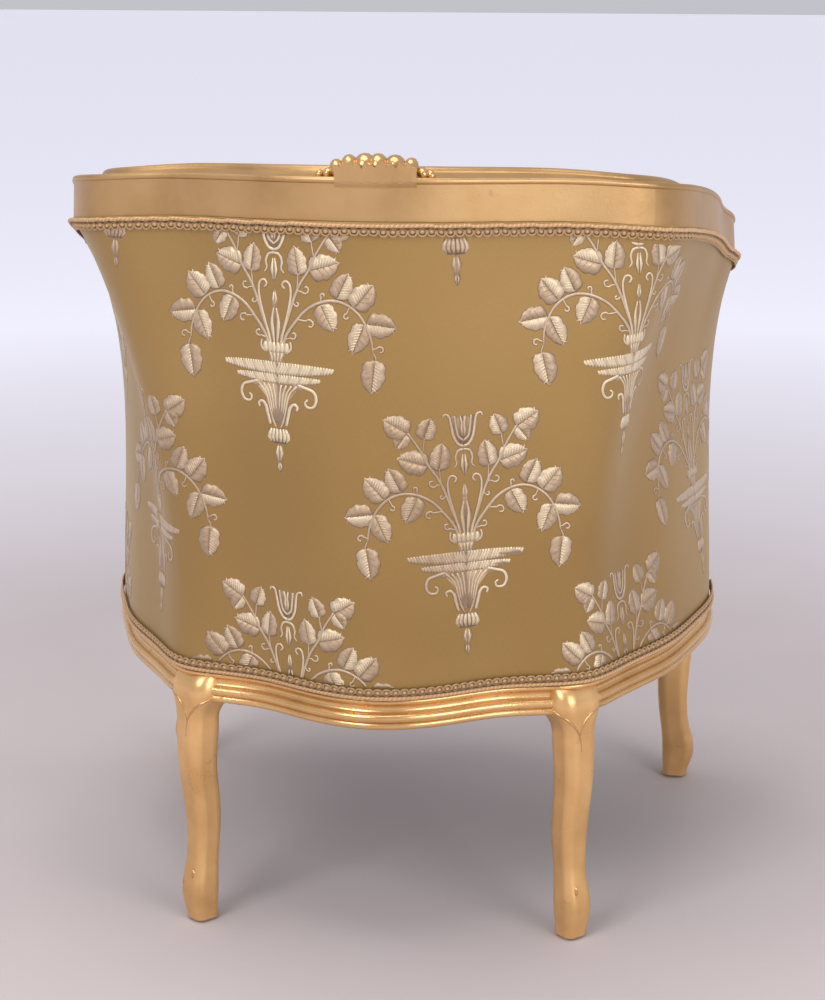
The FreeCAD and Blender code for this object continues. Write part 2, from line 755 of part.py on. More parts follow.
def make_pad(s_from, s_to, edge):
    """Each section is a foot, a soft face of two arcs, a top and a back of two arcs."""
    wires = []
    shares = (0.0, 0.28, 0.56, 0.8, 1.0)
    for s in stations(s_from, s_to):
        low, high = PAD_LOW, wall_top(s) - FIT
        heights = [between(low, high, share) for share in shares]
        face = [wall_point(s, z, pad_face(s, share, edge(s))) for z, share in zip(heights, shares)]
        back = [wall_point(s, z, PAD_INSET) for z in reversed(heights)]
        pieces = [(0, 1, 2), (2, 3, 4), (4, 5), (5, 6, 7), (7, 8, 9), (9, 0)]
        wires.append(closed_wire(face + back, pieces))
    return loft(wires)


def arm_edge(s):
    """The arm pad thins out over its last stretch, where it is tacked to the arm support."""
    return smooth((s - S_SUPPORT + ARM_PAD_FADE) / ARM_PAD_FADE)


parts["inside_back_pad"] = make_pad(-S_CORNER + SOFT_GAP, S_CORNER - SOFT_GAP, lambda s: 0.0)
add_pair("inside_arm_pad", make_pad(S_CORNER + SOFT_GAP, S_SUPPORT, arm_edge))


def inner_gimp(s_from, s_to):
    """Braid over the top edge of the pads, under the show wood."""
    wires = []
    for s in stations(s_from, s_to):
        top = wall_top(s) - FIT
        low = top - GIMP_WIDTH
        near = PAD_INSET + PAD_EDGE + LAYER_GAP
        far = near + INNER_GIMP_SLOPE
        spots = [(top, near), (low, far), (low, far + GIMP_THICKNESS), (top, near + GIMP_THICKNESS)]
        wires.append(polygon([wall_point(s, z, inset) for z, inset in spots]))
    return loft(wires)


# Webbing behind the pads
def strap_down(s):
    half = WEBBING_WIDTH / 2
    inset = STRAP_INSET + WEBBING_THICKNESS + TRIM_GAP
    return wall_layer(s - half, s + half, inset, inset + WEBBING_THICKNESS,
                      lambda s: TACKING_RAIL_LOW + TACKING_RAIL_HEIGHT / 2, lambda s: wall_top(s) - FIT)


def strap_across(s_from, s_to, share):
    half = WEBBING_WIDTH / 2

    def middle(s):
        return between(TACKING_RAIL_LOW + TACKING_RAIL_HEIGHT, wall_top(s), share)

    return wall_layer(s_from, s_to, STRAP_INSET, STRAP_INSET + WEBBING_THICKNESS,
                      lambda s: middle(s) - half, lambda s: middle(s) + half, levels=4)


across = [strap_across(-S_CORNER + SOFT_GAP, S_CORNER - SOFT_GAP, share) for share in STRAP_SHARES]
down = [strap_down(i * STRAP_STEP) for i in (-2, -1, 0, 1, 2)]
parts["back_webbing"] = Part.makeCompound(across + down)
arm_straps = [strap_across(S_CORNER + SOFT_GAP, S_SUPPORT, share) for share in STRAP_SHARES]
add_pair("arm_webbing", Part.makeCompound(arm_straps))


# Seat deck: webbing on the rails, hessian over it, a thin pad on top
def floor_wire(inset, front_inset, z):
    """Plan of the wall and the front edge drawn in by an inset."""
    points = [at_station(s, -inset, z) for s in stations(-S_RAIL_END, S_RAIL_END)]
    front = [Vector(x, front_y(x) + front_inset, z)
             for x in spread(points[-1].x, points[0].x, FRONT_STATIONS)]
    everything = points + front
    count = len(points)
    last = len(everything) - 1
    pieces = [range(count), (count - 1, count), range(count, last + 1), (last, 0)]
    return closed_wire(everything, pieces)


def layer(inset, front_inset, z, thickness):
    return prism(floor_wire(inset, front_inset, z), thickness)


obstacles = [rear_leg, mirrored(rear_leg), arm_support, mirrored(arm_support)]


def clear_of(shape, others):
    for other in others:
        shape = shape.cut(other)
    return Part.makeCompound(shape.Solids)


def box_between(low, high):
    size = high - low
    return Part.makeBox(size.x, size.y, size.z, low)


half_web = WEBBING_WIDTH / 2
lengthwise = []
for x in [i * FLOOR_STRAP_STEP for i in (-2, -1, 0, 1, 2)]:
    lengthwise.append(box_between(Vector(x - half_web, -REACH, WEB_LOW),
                                  Vector(x + half_web, REACH, WEB_LOW + WEBBING_THICKNESS)))
crosswise = []
for y in spread(FIRST_CROSS_STRAP_Y, LAST_CROSS_STRAP_Y, CROSS_STRAPS):
    crosswise.append(box_between(Vector(-REACH, y - half_web, WEB_MIDDLE),
                                 Vector(REACH, y + half_web, WEB_MIDDLE + WEBBING_THICKNESS)))
lower_floor = layer(TACK_INSET, TACK_INSET, RAIL_TOP, HESSIAN_LOW - RAIL_TOP)
obstacles.append(Part.makeCompound(arm_pins))
parts["webbing_lengthwise"] = clear_of(Part.makeCompound(lengthwise).common(lower_floor), obstacles)
parts["webbing_crosswise"] = clear_of(Part.makeCompound(crosswise).common(lower_floor), obstacles)
parts["deck_hessian"] = clear_of(layer(TACK_INSET, TACK_INSET, HESSIAN_LOW, HESSIAN_THICKNESS), obstacles)
parts["deck_pad"] = layer(BACK_LAYER + LAYER_GAP, DECK_FRONT, DECK_LOW, DECK_THICKNESS)

# Dust cover under the seat
under = [rear_leg, mirrored(rear_leg), front_leg, mirrored(front_leg)]
lining = layer(DUST_COVER_INSET, DUST_COVER_INSET, RAIL_BOTTOM - DUST_COVER_THICKNESS, DUST_COVER_THICKNESS)
parts["dust_cover"] = clear_of(lining, under)


# Braid along the front edge of the seat
def seat_front_gimp():
    reach = FRONT_X - RAIL_DEPTH
    low, high = DECK_LOW, DECK_LOW + GIMP_WIDTH
    wires = []
    for x in spread(-reach, reach, FRONT_STATIONS):
        near = front_y(x) + DECK_FRONT - TRIM_GAP
        far = near - GIMP_THICKNESS
        spots = ((near, low), (near, high), (far, high), (far, low))
        wires.append(polygon([Vector(x, y, z) for y, z in spots]))
    return loft(wires)


parts["gimp_seat_front"] = seat_front_gimp()

# Loose cushion: flat under, drawn in at both seams, swelling between them and crowned on top
CUSHION_LOW = DECK_TOP + FIT
CUSHION_TOP = CUSHION_LOW + CUSHION_EDGE


def cushion_form(skin):
    """The cushion's outer form drawn in by a skin."""
    seam = CUSHION_SIDE_GAP + CUSHION_BULGE
    foot = CUSHION_LOW + SEAM_RISE
    turned = CUSHION_LOW + 0.3 * SEAM_RISE
    levels = [(CUSHION_LOW + skin, seam + UNDER_ROUND), (turned + skin, seam + UNDER_ROUND / 3)]
    for share in spread(0.0, 1.0, 7):
        swell = CUSHION_BULGE * math.sin(math.pi * share) ** 0.7
        levels.append((between(foot, CUSHION_TOP, share), seam - swell))
    for turn in (14.0, 30.0, 46.0, 62.0, 76.0, 90.0):
        angle = math.radians(turn)
        drawn = seam + CROWN_DEPTH * (1 - math.cos(angle))
        levels.append((CUSHION_TOP + CUSHION_CROWN * math.sin(angle) - skin * math.sin(angle), drawn))
    wires = []
    for z, inset in levels:
        wires.append(seat_wire(inset + skin, z, CUSHION_FRONT_SET + inset + skin, CUSHION_CORNER))
    return Part.makeLoft(wires, True, True)


cushion_outside = cushion_form(0.0)
cushion_inside = cushion_form(CUSHION_COVER)
parts["cushion_core"] = cushion_form(CUSHION_COVER + SHEET_GAP)
parts["cushion_cover"] = cushion_outside.cut(cushion_inside)


def piping(z):
    """Cord in a fabric welt along a seam of the cushion."""
    inset = CUSHION_SIDE_GAP + CUSHION_BULGE - PIPING_RADIUS - FIT
    path = seat_wire(inset, z, CUSHION_FRONT_SET + inset, CUSHION_CORNER)
    stretches = []
    for edge in path.Edges:
        start = edge.valueAt(edge.FirstParameter)
        ring = Part.makeCircle(PIPING_RADIUS, start, edge.tangentAt(edge.FirstParameter))
        disc = Part.Face(Part.Wire(ring))
        if isinstance(edge.Curve, Part.Circle):
            turn = math.degrees(edge.LastParameter - edge.FirstParameter)
            stretches.append(disc.revolve(edge.Curve.Center, edge.Curve.Axis, turn))
        else:
            stretches.append(disc.extrude(edge.valueAt(edge.LastParameter) - start))
    return fuse(stretches)


parts["cushion_piping_upper"] = piping(CUSHION_TOP)
parts["cushion_piping_lower"] = piping(CUSHION_LOW + SEAM_RISE)


# Carvings
def lobed_outline(width, height, lobes, sweep):
    """Scalloped rosette round the origin, or a half one: arcs from one notch to the next."""
    points = []
    for i in range(2 * lobes + 1):
        angle = sweep * i / (2 * lobes)
        reach = LOBE_RISE if i % 2 else 1.0
        points.append(Vector(width / 2 * math.cos(angle), height * math.sin(angle), 0) * reach)
    pieces = [(2 * i, 2 * i + 1, 2 * i + 2) for i in range(lobes)]
    if sweep < 2 * math.pi:
        pieces.append((2 * lobes, 0))
    return closed_wire(points, pieces)


def make_crest():
    outline = lobed_outline(CREST_WIDTH, CREST_HEIGHT, CREST_LOBES, math.pi)
    solid = Part.Face(outline).extrude(Vector(0, 0, CREST_DEPTH))
    low = Part.makeBox(CREST_WIDTH, CREST_ROOT, CREST_DEPTH, Vector(-CREST_WIDTH / 2, -CREST_ROOT, 0))
    solid = fuse([solid, low])
    turn = FreeCAD.Rotation(Vector(1, 0, 0), 90 - TILT_BACK)
    angle = tilt(0)
    up = TOP_FACE + BEAD_RISE
    out = TOP_PROUD - (TOP_DEPTH - CREST_DEPTH) / 2
    reach = flare(0, wall_top(0)) + out * math.cos(angle) + up * math.sin(angle)
    height = wall_top(0) + up * math.cos(angle) - out * math.sin(angle)
    solid.Placement = FreeCAD.Placement(at_station(0, reach, height) + Vector(CREST_OFFSET, 0, 0), turn)
    return solid.cut(parts["top_rail"]).Solids[0]


def make_apron_carving():
    outline = lobed_outline(APRON_CARVING_WIDTH, APRON_CARVING_HEIGHT / 2, APRON_CARVING_LOBES, 2 * math.pi)
    solid = Part.Face(outline).extrude(Vector(0, 0, APRON_CARVING_DEPTH))
    turn = FreeCAD.Rotation(Vector(1, 0, 0), 90)
    middle = RAIL_BOTTOM + APRON_CARVING_HEIGHT / 2 - APRON_CARVING_DROP
    front = FRONT_CENTRE_Y - UPPER_BEAD_PROUD - APRON_CARVING_PROUD
    place = Vector(0, front + APRON_CARVING_DEPTH, middle)
    solid.Placement = FreeCAD.Placement(place, turn)
    carving = solid.cut(parts["seat_rail_front"])
    return min(carving.Solids, key=lambda piece: piece.BoundBox.YMin)


parts["crest_carving"] = make_crest()
parts["front_rail_carving"] = make_apron_carving()
parts["gimp_inner_back"] = inner_gimp(-S_CORNER + SOFT_GAP, S_CORNER - SOFT_GAP)
add_pair("gimp_inner_arm", inner_gimp(S_CORNER + SOFT_GAP, S_SUPPORT - LAYER_GAP))

for name, shape in parts.items():
    shape.exportStep("parts/" + name + ".step")
    print(name, len(shape.Solids), shape.isValid(), round(shape.Volume))
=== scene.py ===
import math

import bmesh
import bpy
import numpy as np
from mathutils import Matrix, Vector
from mathutils.bvhtree import BVHTree


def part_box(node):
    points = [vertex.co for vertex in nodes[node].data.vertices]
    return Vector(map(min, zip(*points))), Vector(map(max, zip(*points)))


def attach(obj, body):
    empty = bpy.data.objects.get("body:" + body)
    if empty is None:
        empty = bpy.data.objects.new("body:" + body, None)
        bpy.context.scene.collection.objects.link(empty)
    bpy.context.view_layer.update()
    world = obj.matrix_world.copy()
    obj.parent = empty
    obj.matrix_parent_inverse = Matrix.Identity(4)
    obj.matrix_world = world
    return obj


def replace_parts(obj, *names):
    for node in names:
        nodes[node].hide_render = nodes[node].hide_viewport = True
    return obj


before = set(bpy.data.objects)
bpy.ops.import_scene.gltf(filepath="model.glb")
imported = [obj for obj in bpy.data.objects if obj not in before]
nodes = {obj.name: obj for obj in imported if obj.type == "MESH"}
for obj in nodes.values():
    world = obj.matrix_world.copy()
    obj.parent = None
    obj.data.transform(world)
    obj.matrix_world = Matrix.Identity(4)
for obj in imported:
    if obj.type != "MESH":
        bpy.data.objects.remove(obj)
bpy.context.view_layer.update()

MM = 0.001

# Camera: where the photograph was taken from, behind the chair
CAMERA_PLACE = (-0.2819, 2.4122, 1.0527)
CAMERA_PITCH = 14.926
CAMERA_HEADING = 186.455
CAMERA_LENS = 86.4

# The upholstered wall is measured by rays from a spine inside the seat
HUB_Y = -0.02
WALL_END_Y = -0.148
RAY_REACH = 0.6
REFERENCE_HEIGHT = 0.5
WALL_SEARCH = 0.35
WALL_MARGIN = 0.0003
BAND_SCAN_STEP = 0.0012
COVER_THICKNESS = 0.0016

# Brocade repeat: columns along the wall, half dropped, in metres
COLUMN_STEP = 0.181
COLUMN_SHIFT = -0.002
REPEAT_HEIGHT = 0.371
MOTIF_LEVEL = 0.601
GRAIN_LEAN = 0.8

# Braid
GIMP_WIDTH = 13.0
GIMP_PITCH = 8.6
GIMP_SINK = 0.0016
GIMP_END_Y = -0.215

# Arm scrolls
SCROLL_RADIUS = 21.0
SCROLL_HEIGHT = 638.0


def tree_of_meshes(*meshes):
    """Search tree over the surfaces of meshes."""
    verts, faces = [], []
    for mesh in meshes:
        start = len(verts)
        verts += [v.co.copy() for v in mesh.vertices]
        faces += [[start + i for i in p.vertices] for p in mesh.polygons]
    return BVHTree.FromPolygons(verts, faces)


def tree_of(*names):
    """Search tree over the surfaces of CAD nodes."""
    return tree_of_meshes(*[nodes[name].data for name in names])


def smooth_step(t):
    t = np.clip(t, 0.0, 1.0)
    return t * t * (3 - 2 * t)


def through(points, count):
    """Smooth line of evenly spaced points through the given ones."""
    p = np.array(points, float)
    p = np.vstack([2 * p[0] - p[1], p, 2 * p[-1] - p[-2]])
    line = []
    for i in range(1, len(p) - 2):
        for t in np.linspace(0, 1, 12, endpoint=False):
            a = 2 * p[i]
            b = p[i + 1] - p[i - 1]
            c = 2 * p[i - 1] - 5 * p[i] + 4 * p[i + 1] - p[i + 2]
            d = 3 * p[i] - p[i - 1] - 3 * p[i + 1] + p[i + 2]
            line.append((a + b * t + c * t ** 2 + d * t ** 3) / 2)
    line.append(p[-2])
    line = np.array(line)
    run = np.concatenate([[0], np.cumsum(np.linalg.norm(np.diff(line, axis=0), axis=1))])
    wanted = np.linspace(0, run[-1], count)
    return np.column_stack([np.interp(wanted, run, line[:, k]) for k in range(line.shape[1])])


class Bag:
    """Collects points, faces and a tone for each point, and makes one object of them."""

    def __init__(self):
        self.points, self.faces, self.tones, self.count = [], [], [], 0

    def add(self, points, faces, tone=0.5):
        points = np.asarray(points, float)
        self.points.append(points)
        self.faces += [[self.count + i for i in f] for f in faces]
        self.tones.append(np.broadcast_to(np.asarray(tone, float), (len(points),)))
        self.count += len(points)

    def arrays(self):
        return np.vstack(self.points), self.faces, np.concatenate(self.tones)


def make_object(name, points, faces, material, body="frame", smooth=True, tones=None, uv=None):
    mesh = bpy.data.meshes.new(name)
    mesh.from_pydata([tuple(p) for p in np.asarray(points, float)], [], [tuple(f) for f in faces])
    mesh.update()
    if tones is not None:
        layer = mesh.attributes.new("tone", "FLOAT", "POINT")
        layer.data.foreach_set("value", np.asarray(tones, np.float32))
    if uv is not None:
        layer = mesh.uv_layers.new(name="weave")
        loops = np.zeros(len(mesh.loops), np.int32)
        mesh.loops.foreach_get("vertex_index", loops)
        layer.data.foreach_set("uv", np.asarray(uv, np.float32)[loops].ravel())
    mesh.polygons.foreach_set("use_smooth", [smooth] * len(mesh.polygons))
    mesh.materials.append(material)
    obj = bpy.data.objects.new(name, mesh)
    bpy.context.scene.collection.objects.link(obj)
    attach(obj, body)
    return obj


def grid_faces(rows, columns, closed=False):
    """Faces of a grid whose points run along the columns first."""
    faces = []
    for i in range(rows - 1):
        for j in range(columns if closed else columns - 1):
            k = (j + 1) % columns
            faces.append((i * columns + j, i * columns + k, (i + 1) * columns + k, (i + 1) * columns + j))
    return faces


def tube(path, radius, sides=6, closed=False, up=(0, 0, 1)):
    """Round tube along a path; radius is one number or one for each point."""
    path = np.asarray(path, float)
    radius = np.broadcast_to(np.asarray(radius, float), (len(path),))
    if closed:
        ahead = np.roll(path, -1, 0) - np.roll(path, 1, 0)
    else:
        ahead = np.gradient(path, axis=0)
    ahead /= np.linalg.norm(ahead, axis=1)[:, None] + 1e-12
    side = np.cross(ahead, np.array(up, float))
    weak = np.linalg.norm(side, axis=1) < 1e-4
    side[weak] = np.cross(ahead[weak], np.array((0.0, 1.0, 0.3)))
    side /= np.linalg.norm(side, axis=1)[:, None]
    top = np.cross(side, ahead)
    turns = np.arange(sides) * 2 * math.pi / sides
    ring = side[:, None] * np.cos(turns)[None, :, None] + top[:, None] * np.sin(turns)[None, :, None]
    points = (path[:, None] + ring * radius[:, None, None]).reshape(-1, 3)
    faces = grid_faces(len(path), sides, closed=True)
    if closed:
        last = (len(path) - 1) * sides
        faces += [(last + j, last + (j + 1) % sides, (j + 1) % sides, j) for j in range(sides)]
    else:
        last = (len(path) - 1) * sides
        faces += [tuple(range(sides))[::-1], tuple(last + j for j in range(sides))]
    return points, faces


# Materials
class Paint:
    """A procedural material on one Principled shader."""

    def __init__(self, name, **sockets):
        self.material = bpy.data.materials.new(name)
        self.material.use_nodes = True
        self.tree = self.material.node_tree
        self.shader = self.tree.nodes["Principled BSDF"]
        for socket, value in sockets.items():
            self.shader.inputs[socket.replace("_", " ")].default_value = value

    def node(self, kind, inputs=None, **settings):
        node = self.tree.nodes.new(kind)
        for key, value in settings.items():
            setattr(node, key, value)
        for key, value in (inputs or {}).items():
            if isinstance(value, bpy.types.NodeSocket):
                self.tree.links.new(value, node.inputs[key])
            else:
                node.inputs[key].default_value = value
        return node

    def place(self, scale=(1, 1, 1), uv=False):
        """Object coordinates in metres, or the cloth's own, stretched by a scale."""
        coordinates = self.node("ShaderNodeTexCoord")
        source = coordinates.outputs["UV" if uv else "Object"]
        return self.node("ShaderNodeMapping", {"Vector": source, "Scale": scale}).outputs[0]

    def noise(self, scale, detail=3.0, stretch=(1, 1, 1), uv=False, rough=0.5):
        inputs = {"Vector": self.place(stretch, uv), "Scale": scale, "Detail": detail, "Roughness": rough}
        return self.node("ShaderNodeTexNoise", inputs).outputs["Fac"]

    def wave(self, scale, stretch=(1, 1, 1), distortion=0.0, direction="X"):
        inputs = {"Vector": self.place(stretch), "Scale": scale, "Distortion": distortion,
                  "Detail": 1.0, "Detail Scale": 1.5}
        return self.node("ShaderNodeTexWave", inputs, bands_direction=direction).outputs["Fac"]

    def ramp(self, value, stops):
        node = self.node("ShaderNodeValToRGB", {"Fac": value})
        elements = node.color_ramp.elements
        while len(elements) < len(stops):
            elements.new(0.5)
        for element, (position, colour) in zip(elements, stops):
            element.position = position
            element.color = (*colour, 1.0)
        return node.outputs["Color"]

    def map(self, value, low, high, start=0.0, end=1.0):
        inputs = {"Value": value, "From Min": start, "From Max": end, "To Min": low, "To Max": high}
        return self.node("ShaderNodeMapRange", inputs).outputs[0]

    def mix(self, factor, a, b, blend="MIX"):
        node = self.node("ShaderNodeMix", data_type="RGBA", blend_type=blend)
        for key, value in ((0, factor), (6, a), (7, b)):
            if isinstance(value, bpy.types.NodeSocket):
                self.tree.links.new(value, node.inputs[key])
            else:
                node.inputs[key].default_value = (*value, 1.0) if isinstance(value, tuple) else value
        return node.outputs[2]

    def add(self, a, b, share=1.0):
        return self.node("ShaderNodeMath", {0: b, 1: share, 2: a}, operation="MULTIPLY_ADD").outputs[0]

    def colour(self, socket):
        self.tree.links.new(socket, self.shader.inputs["Base Color"])

    def rough(self, socket):
        self.tree.links.new(socket, self.shader.inputs["Roughness"])

    def bump(self, height, strength, distance):
        node = self.node("ShaderNodeBump", {"Height": height, "Strength": strength, "Distance": distance})
        self.tree.links.new(node.outputs[0], self.shader.inputs["Normal"])


def gilding(name, rough_low, rough_high, painted_brightness=1.0, wear=0.62):
    """Gold leaf over a warm red ground: patchy sheen, brushed in, rubbed through in small spots; its
    brightness factor scales the gold's colour as painted light and shade.
    """
    paint = Paint(name, Metallic=0.74, Specular_IOR_Level=0.7)
    patches = paint.noise(14.0, 4.0)
    leaf = paint.noise(55.0, 5.0, rough=0.62)
    fine = paint.noise(420.0, 3.0)
    spots = paint.noise(38.0, 8.0, rough=0.72)
    gold = paint.ramp(patches, [(0.3, (0.56 * painted_brightness, 0.325 * painted_brightness, 0.125 * painted_brightness)),
                                (0.52, (0.66 * painted_brightness, 0.40 * painted_brightness, 0.165 * painted_brightness)),
                                (0.75, (0.74 * painted_brightness, 0.47 * painted_brightness, 0.21 * painted_brightness))])
    tinted = paint.mix(paint.map(leaf, 0.0, 0.35, 0.45, 0.75), gold,
                       (0.70 * painted_brightness, 0.43 * painted_brightness, 0.21 * painted_brightness))
    worn = paint.mix(paint.map(spots, 0.0, 0.55, wear, wear + 0.1), tinted, (0.26, 0.13, 0.055))
    paint.colour(worn)
    paint.rough(paint.map(paint.add(patches, leaf, 0.6), rough_low, rough_high, 0.45, 1.15))
    paint.bump(paint.add(fine, leaf, 1.6), 0.10, 0.0012)
    return paint.material


GROUND_LIGHT = (0.385, 0.232, 0.074)
GROUND_DARK = (0.320, 0.186, 0.054)


def brocade_ground(name, uv=True):
    """Satin ground of the brocade: very fine warp and a soft sheen."""
    paint = Paint(name, Metallic=0.22, Sheen_Weight=0.25, Sheen_Roughness=0.4, Specular_IOR_Level=0.4,
                  Sheen_Tint=(0.95, 0.82, 0.55, 1.0))
    warp = paint.noise(2600.0, 2.0, (1, 0.08, 1) if uv else (1, 0.08, 0.08), uv=uv)
    weft = paint.noise(2200.0, 2.0, (0.06, 1, 1), uv=uv)
    broad = paint.noise(3.2, 2.0)
    base = paint.mix(paint.map(broad, 0.0, 1.0, 0.35, 0.68), GROUND_DARK, GROUND_LIGHT)
    yarn = paint.map(paint.add(warp, weft, 0.6), 0.93, 1.07, 0.5, 1.1)
    paint.colour(paint.mix(1.0, base, yarn, "MULTIPLY"))
    paint.rough(paint.map(warp, 0.40, 0.50))
    paint.bump(paint.add(warp, weft, 0.7), 0.10, 0.0003)
    return paint.material


def brocade_thread(name):
    """Figure threads: cream and pale gold silk with metallic lights and rosy brown outlines."""
    paint = Paint(name, Metallic=0.42, Specular_IOR_Level=0.6, Sheen_Weight=0.2)
    tone = paint.node("ShaderNodeAttribute", attribute_name="tone").outputs["Fac"]
    stitch = paint.noise(1500.0, 2.0, (1, 0.4, 1))
    slub = paint.noise(260.0, 3.0)
    mixed = paint.add(paint.map(paint.add(stitch, slub, 1.0), -0.10, 0.10, 0.6, 1.4), tone, 1.0)
    paint.colour(paint.ramp(mixed, [(0.08, (0.19, 0.105, 0.05)), (0.32, (0.38, 0.245, 0.13)),
                                    (0.62, (0.60, 0.44, 0.29)), (0.92, (0.86, 0.71, 0.47))]))
    paint.rough(paint.map(stitch, 0.30, 0.46))
    paint.bump(paint.add(stitch, slub, 0.8), 0.35, 0.0008)
    return paint.material


def braid_thread(name):
    """Twisted gold and tan cord of the gimp."""
    paint = Paint(name, Metallic=0.25, Sheen_Weight=0.3, Specular_IOR_Level=0.5)
    tone = paint.node("ShaderNodeAttribute", attribute_name="tone").outputs["Fac"]
    twist = paint.wave(420.0, (1, 1, 1.6), distortion=2.0, direction="DIAGONAL")
    slub = paint.noise(420.0, 3.0)
    mixed = paint.add(paint.map(paint.add(twist, slub, 1.0), -0.09, 0.09, 0.4, 1.5), tone, 1.0)
    paint.colour(paint.ramp(mixed, [(0.05, (0.11, 0.06, 0.025)), (0.35, (0.30, 0.18, 0.075)),
                                    (0.62, (0.50, 0.31, 0.135)), (0.95, (0.78, 0.46, 0.22))]))
    paint.rough(paint.map(slub, 0.42, 0.62))
    paint.bump(paint.add(twist, slub, 0.7), 0.4, 0.0008)
    return paint.material


def woven(name, dark, light, scale, rough, strength=0.5):
    """Plain woven cloth or webbing."""
    paint = Paint(name, Sheen_Weight=0.15)
    over = paint.wave(scale, direction="X", distortion=0.6)
    across = paint.wave(scale, direction="Y", distortion=0.6)
    weave = paint.add(over, across, 1.0)
    slub = paint.noise(scale * 0.8, 3.0)
    tones = paint.map(paint.add(weave, slub, 1.0), 0.0, 1.0, 0.3, 2.3)
    paint.colour(paint.mix(tones, dark, light))
    paint.shader.inputs["Roughness"].default_value = rough
    paint.bump(weave, strength, 0.0006)
    return paint.material


def beech(name):
    """Raw beech with long grain and open pores."""
    paint = Paint(name, Specular_IOR_Level=0.4)
    grain = paint.noise(34.0, 4.0, (1, 7, 1))
    pores = paint.noise(420.0, 2.0, (0.25, 1, 1))
    paint.colour(paint.ramp(grain, [(0.3, (0.40, 0.235, 0.12)), (0.55, (0.56, 0.36, 0.205)),
                                    (0.8, (0.64, 0.44, 0.27))]))
    paint.rough(paint.map(pores, 0.5, 0.7))
    paint.bump(paint.add(grain, pores, 0.6), 0.2, 0.0005)
    return paint.material


def felt(name, colour):
    """Matted fibres, such as felt or wadding."""
    paint = Paint(name, Sheen_Weight=0.2)
    fuzz = paint.noise(900.0, 4.0)
    paint.colour(paint.mix(paint.map(fuzz, 0.0, 1.0, 0.3, 0.7), colour, tuple(c * 1.7 for c in colour)))
    paint.shader.inputs["Roughness"].default_value = 0.9
    paint.bump(fuzz, 0.4, 0.0006)
    return paint.material


# Copies of one gold with painted light and shade: the seat rails and legs are painted lighter, the top and arm
# rails darker, and the carving is left as it is
gold_rail = gilding("gilding_rail", 0.16, 0.34, 1.10)
gold_leg = gilding("gilding_leg", 0.24, 0.42, 1.24, 0.62)
gold_top = gilding("gilding_top", 0.30, 0.50, 0.78, 0.66)
gold_carved = gilding("gilding_carved", 0.14, 0.30, 1.0, 0.60)
ground = brocade_ground("brocade_ground")
ground_plain = brocade_ground("brocade_ground_cushion", uv=False)
threads = brocade_thread("brocade_figures")
braid = braid_thread("gimp_threads")
jute = woven("jute_webbing", (0.20, 0.125, 0.055), (0.52, 0.37, 0.20), 330.0, 0.85)
hessian = woven("hessian", (0.17, 0.10, 0.045), (0.47, 0.33, 0.18), 230.0, 0.9)
lining = woven("black_lining", (0.010, 0.010, 0.011), (0.045, 0.043, 0.042), 420.0, 0.85, 0.3)
raw_beech = beech("beech")
glide_felt = felt("felt_glide", (0.055, 0.050, 0.048))
foam = felt("cushion_filling", (0.62, 0.55, 0.40))


# Nodes that show as they are, each with its finish in place of the plain one it came with
FINISHES = [
    (gold_top, "top_rail arm_rail_left arm_rail_right"),
    (gold_rail, "seat_rail_back seat_rail_left seat_rail_right seat_rail_front"),
    (gold_rail, "arm_support_left arm_support_right"),
    (gold_leg, "leg_rear_left leg_rear_right leg_front_left leg_front_right"),
    (gold_carved, "front_rail_carving crest_carving"),
    (raw_beech, "seat_frame_dowels arm_dowels tacking_rail_back tacking_rail_left tacking_rail_right"),
    (glide_felt, "foot_glides"),
    (jute, "back_webbing arm_webbing_left arm_webbing_right webbing_lengthwise webbing_crosswise"),
    (hessian, "deck_hessian"),
    (lining, "dust_cover"),
    (foam, "cushion_core"),
]
for material, names in FINISHES:
    for name in names.split():
        nodes[name].data.materials.clear()
        nodes[name].data.materials.append(material)


# Cloth surfaces measured on the frame
class Sheet:
    """A surface known on a grid of runs (along) and shares of its height; at() places points on it."""

    def __init__(self, runs, shares, low, high, points, normals):
        self.runs, self.shares = runs, shares
        self.low, self.high = low, high
        self.points, self.normals = points, normals

    def at(self, run, level, lift=0.0):
        """Points at distances along the wall and heights, raised off the surface by a lift."""
        low = np.interp(run, self.runs, self.low)
        high = np.interp(run, self.runs, self.high)
        return self.place(run, (level - low) / np.maximum(high - low, 1e-4), lift)

    def place(self, run, share, lift=0.0):
        """The same, with the height as a share from the lower edge to the upper one."""
        run, share = np.broadcast_arrays(np.asarray(run, float), np.asarray(share, float))
        i = np.interp(run, self.runs, np.arange(len(self.runs)))
        j = np.clip(share, 0, 1) * (len(self.shares) - 1)
        i0 = np.minimum(i.astype(int), len(self.runs) - 2)
        j0 = np.minimum(j.astype(int), len(self.shares) - 2)
        fi, fj = (i - i0)[..., None], (j - j0)[..., None]

        def blend(grid):
            near = grid[i0, j0] * (1 - fj) + grid[i0, j0 + 1] * fj
            far = grid[i0 + 1, j0] * (1 - fj) + grid[i0 + 1, j0 + 1] * fj
            return near * (1 - fi) + far * fi

        normal = blend(self.normals)
        normal /= np.maximum(np.linalg.norm(normal, axis=-1), 1e-9)[..., None]
        return blend(self.points) + normal * np.asarray(lift, float)[..., None]

    def stretch(self, run, level):
        """How much longer a step along the wall is here than at the reference height."""
        step = 0.004
        ahead = self.at(run + step, level) - self.at(run - step, level)
        return np.maximum(np.linalg.norm(ahead, axis=-1) / (2 * step), 0.3)


def spine_ray(turn):
    """Start and level direction of a ray; turn is an angle, and beyond a quarter turn a distance."""
    angle = max(-math.pi / 2, min(math.pi / 2, turn))
    beyond = max(0.0, abs(turn) - math.pi / 2)
    return Vector((0, HUB_Y - beyond, 0)), Vector((math.sin(angle), math.cos(angle), 0))


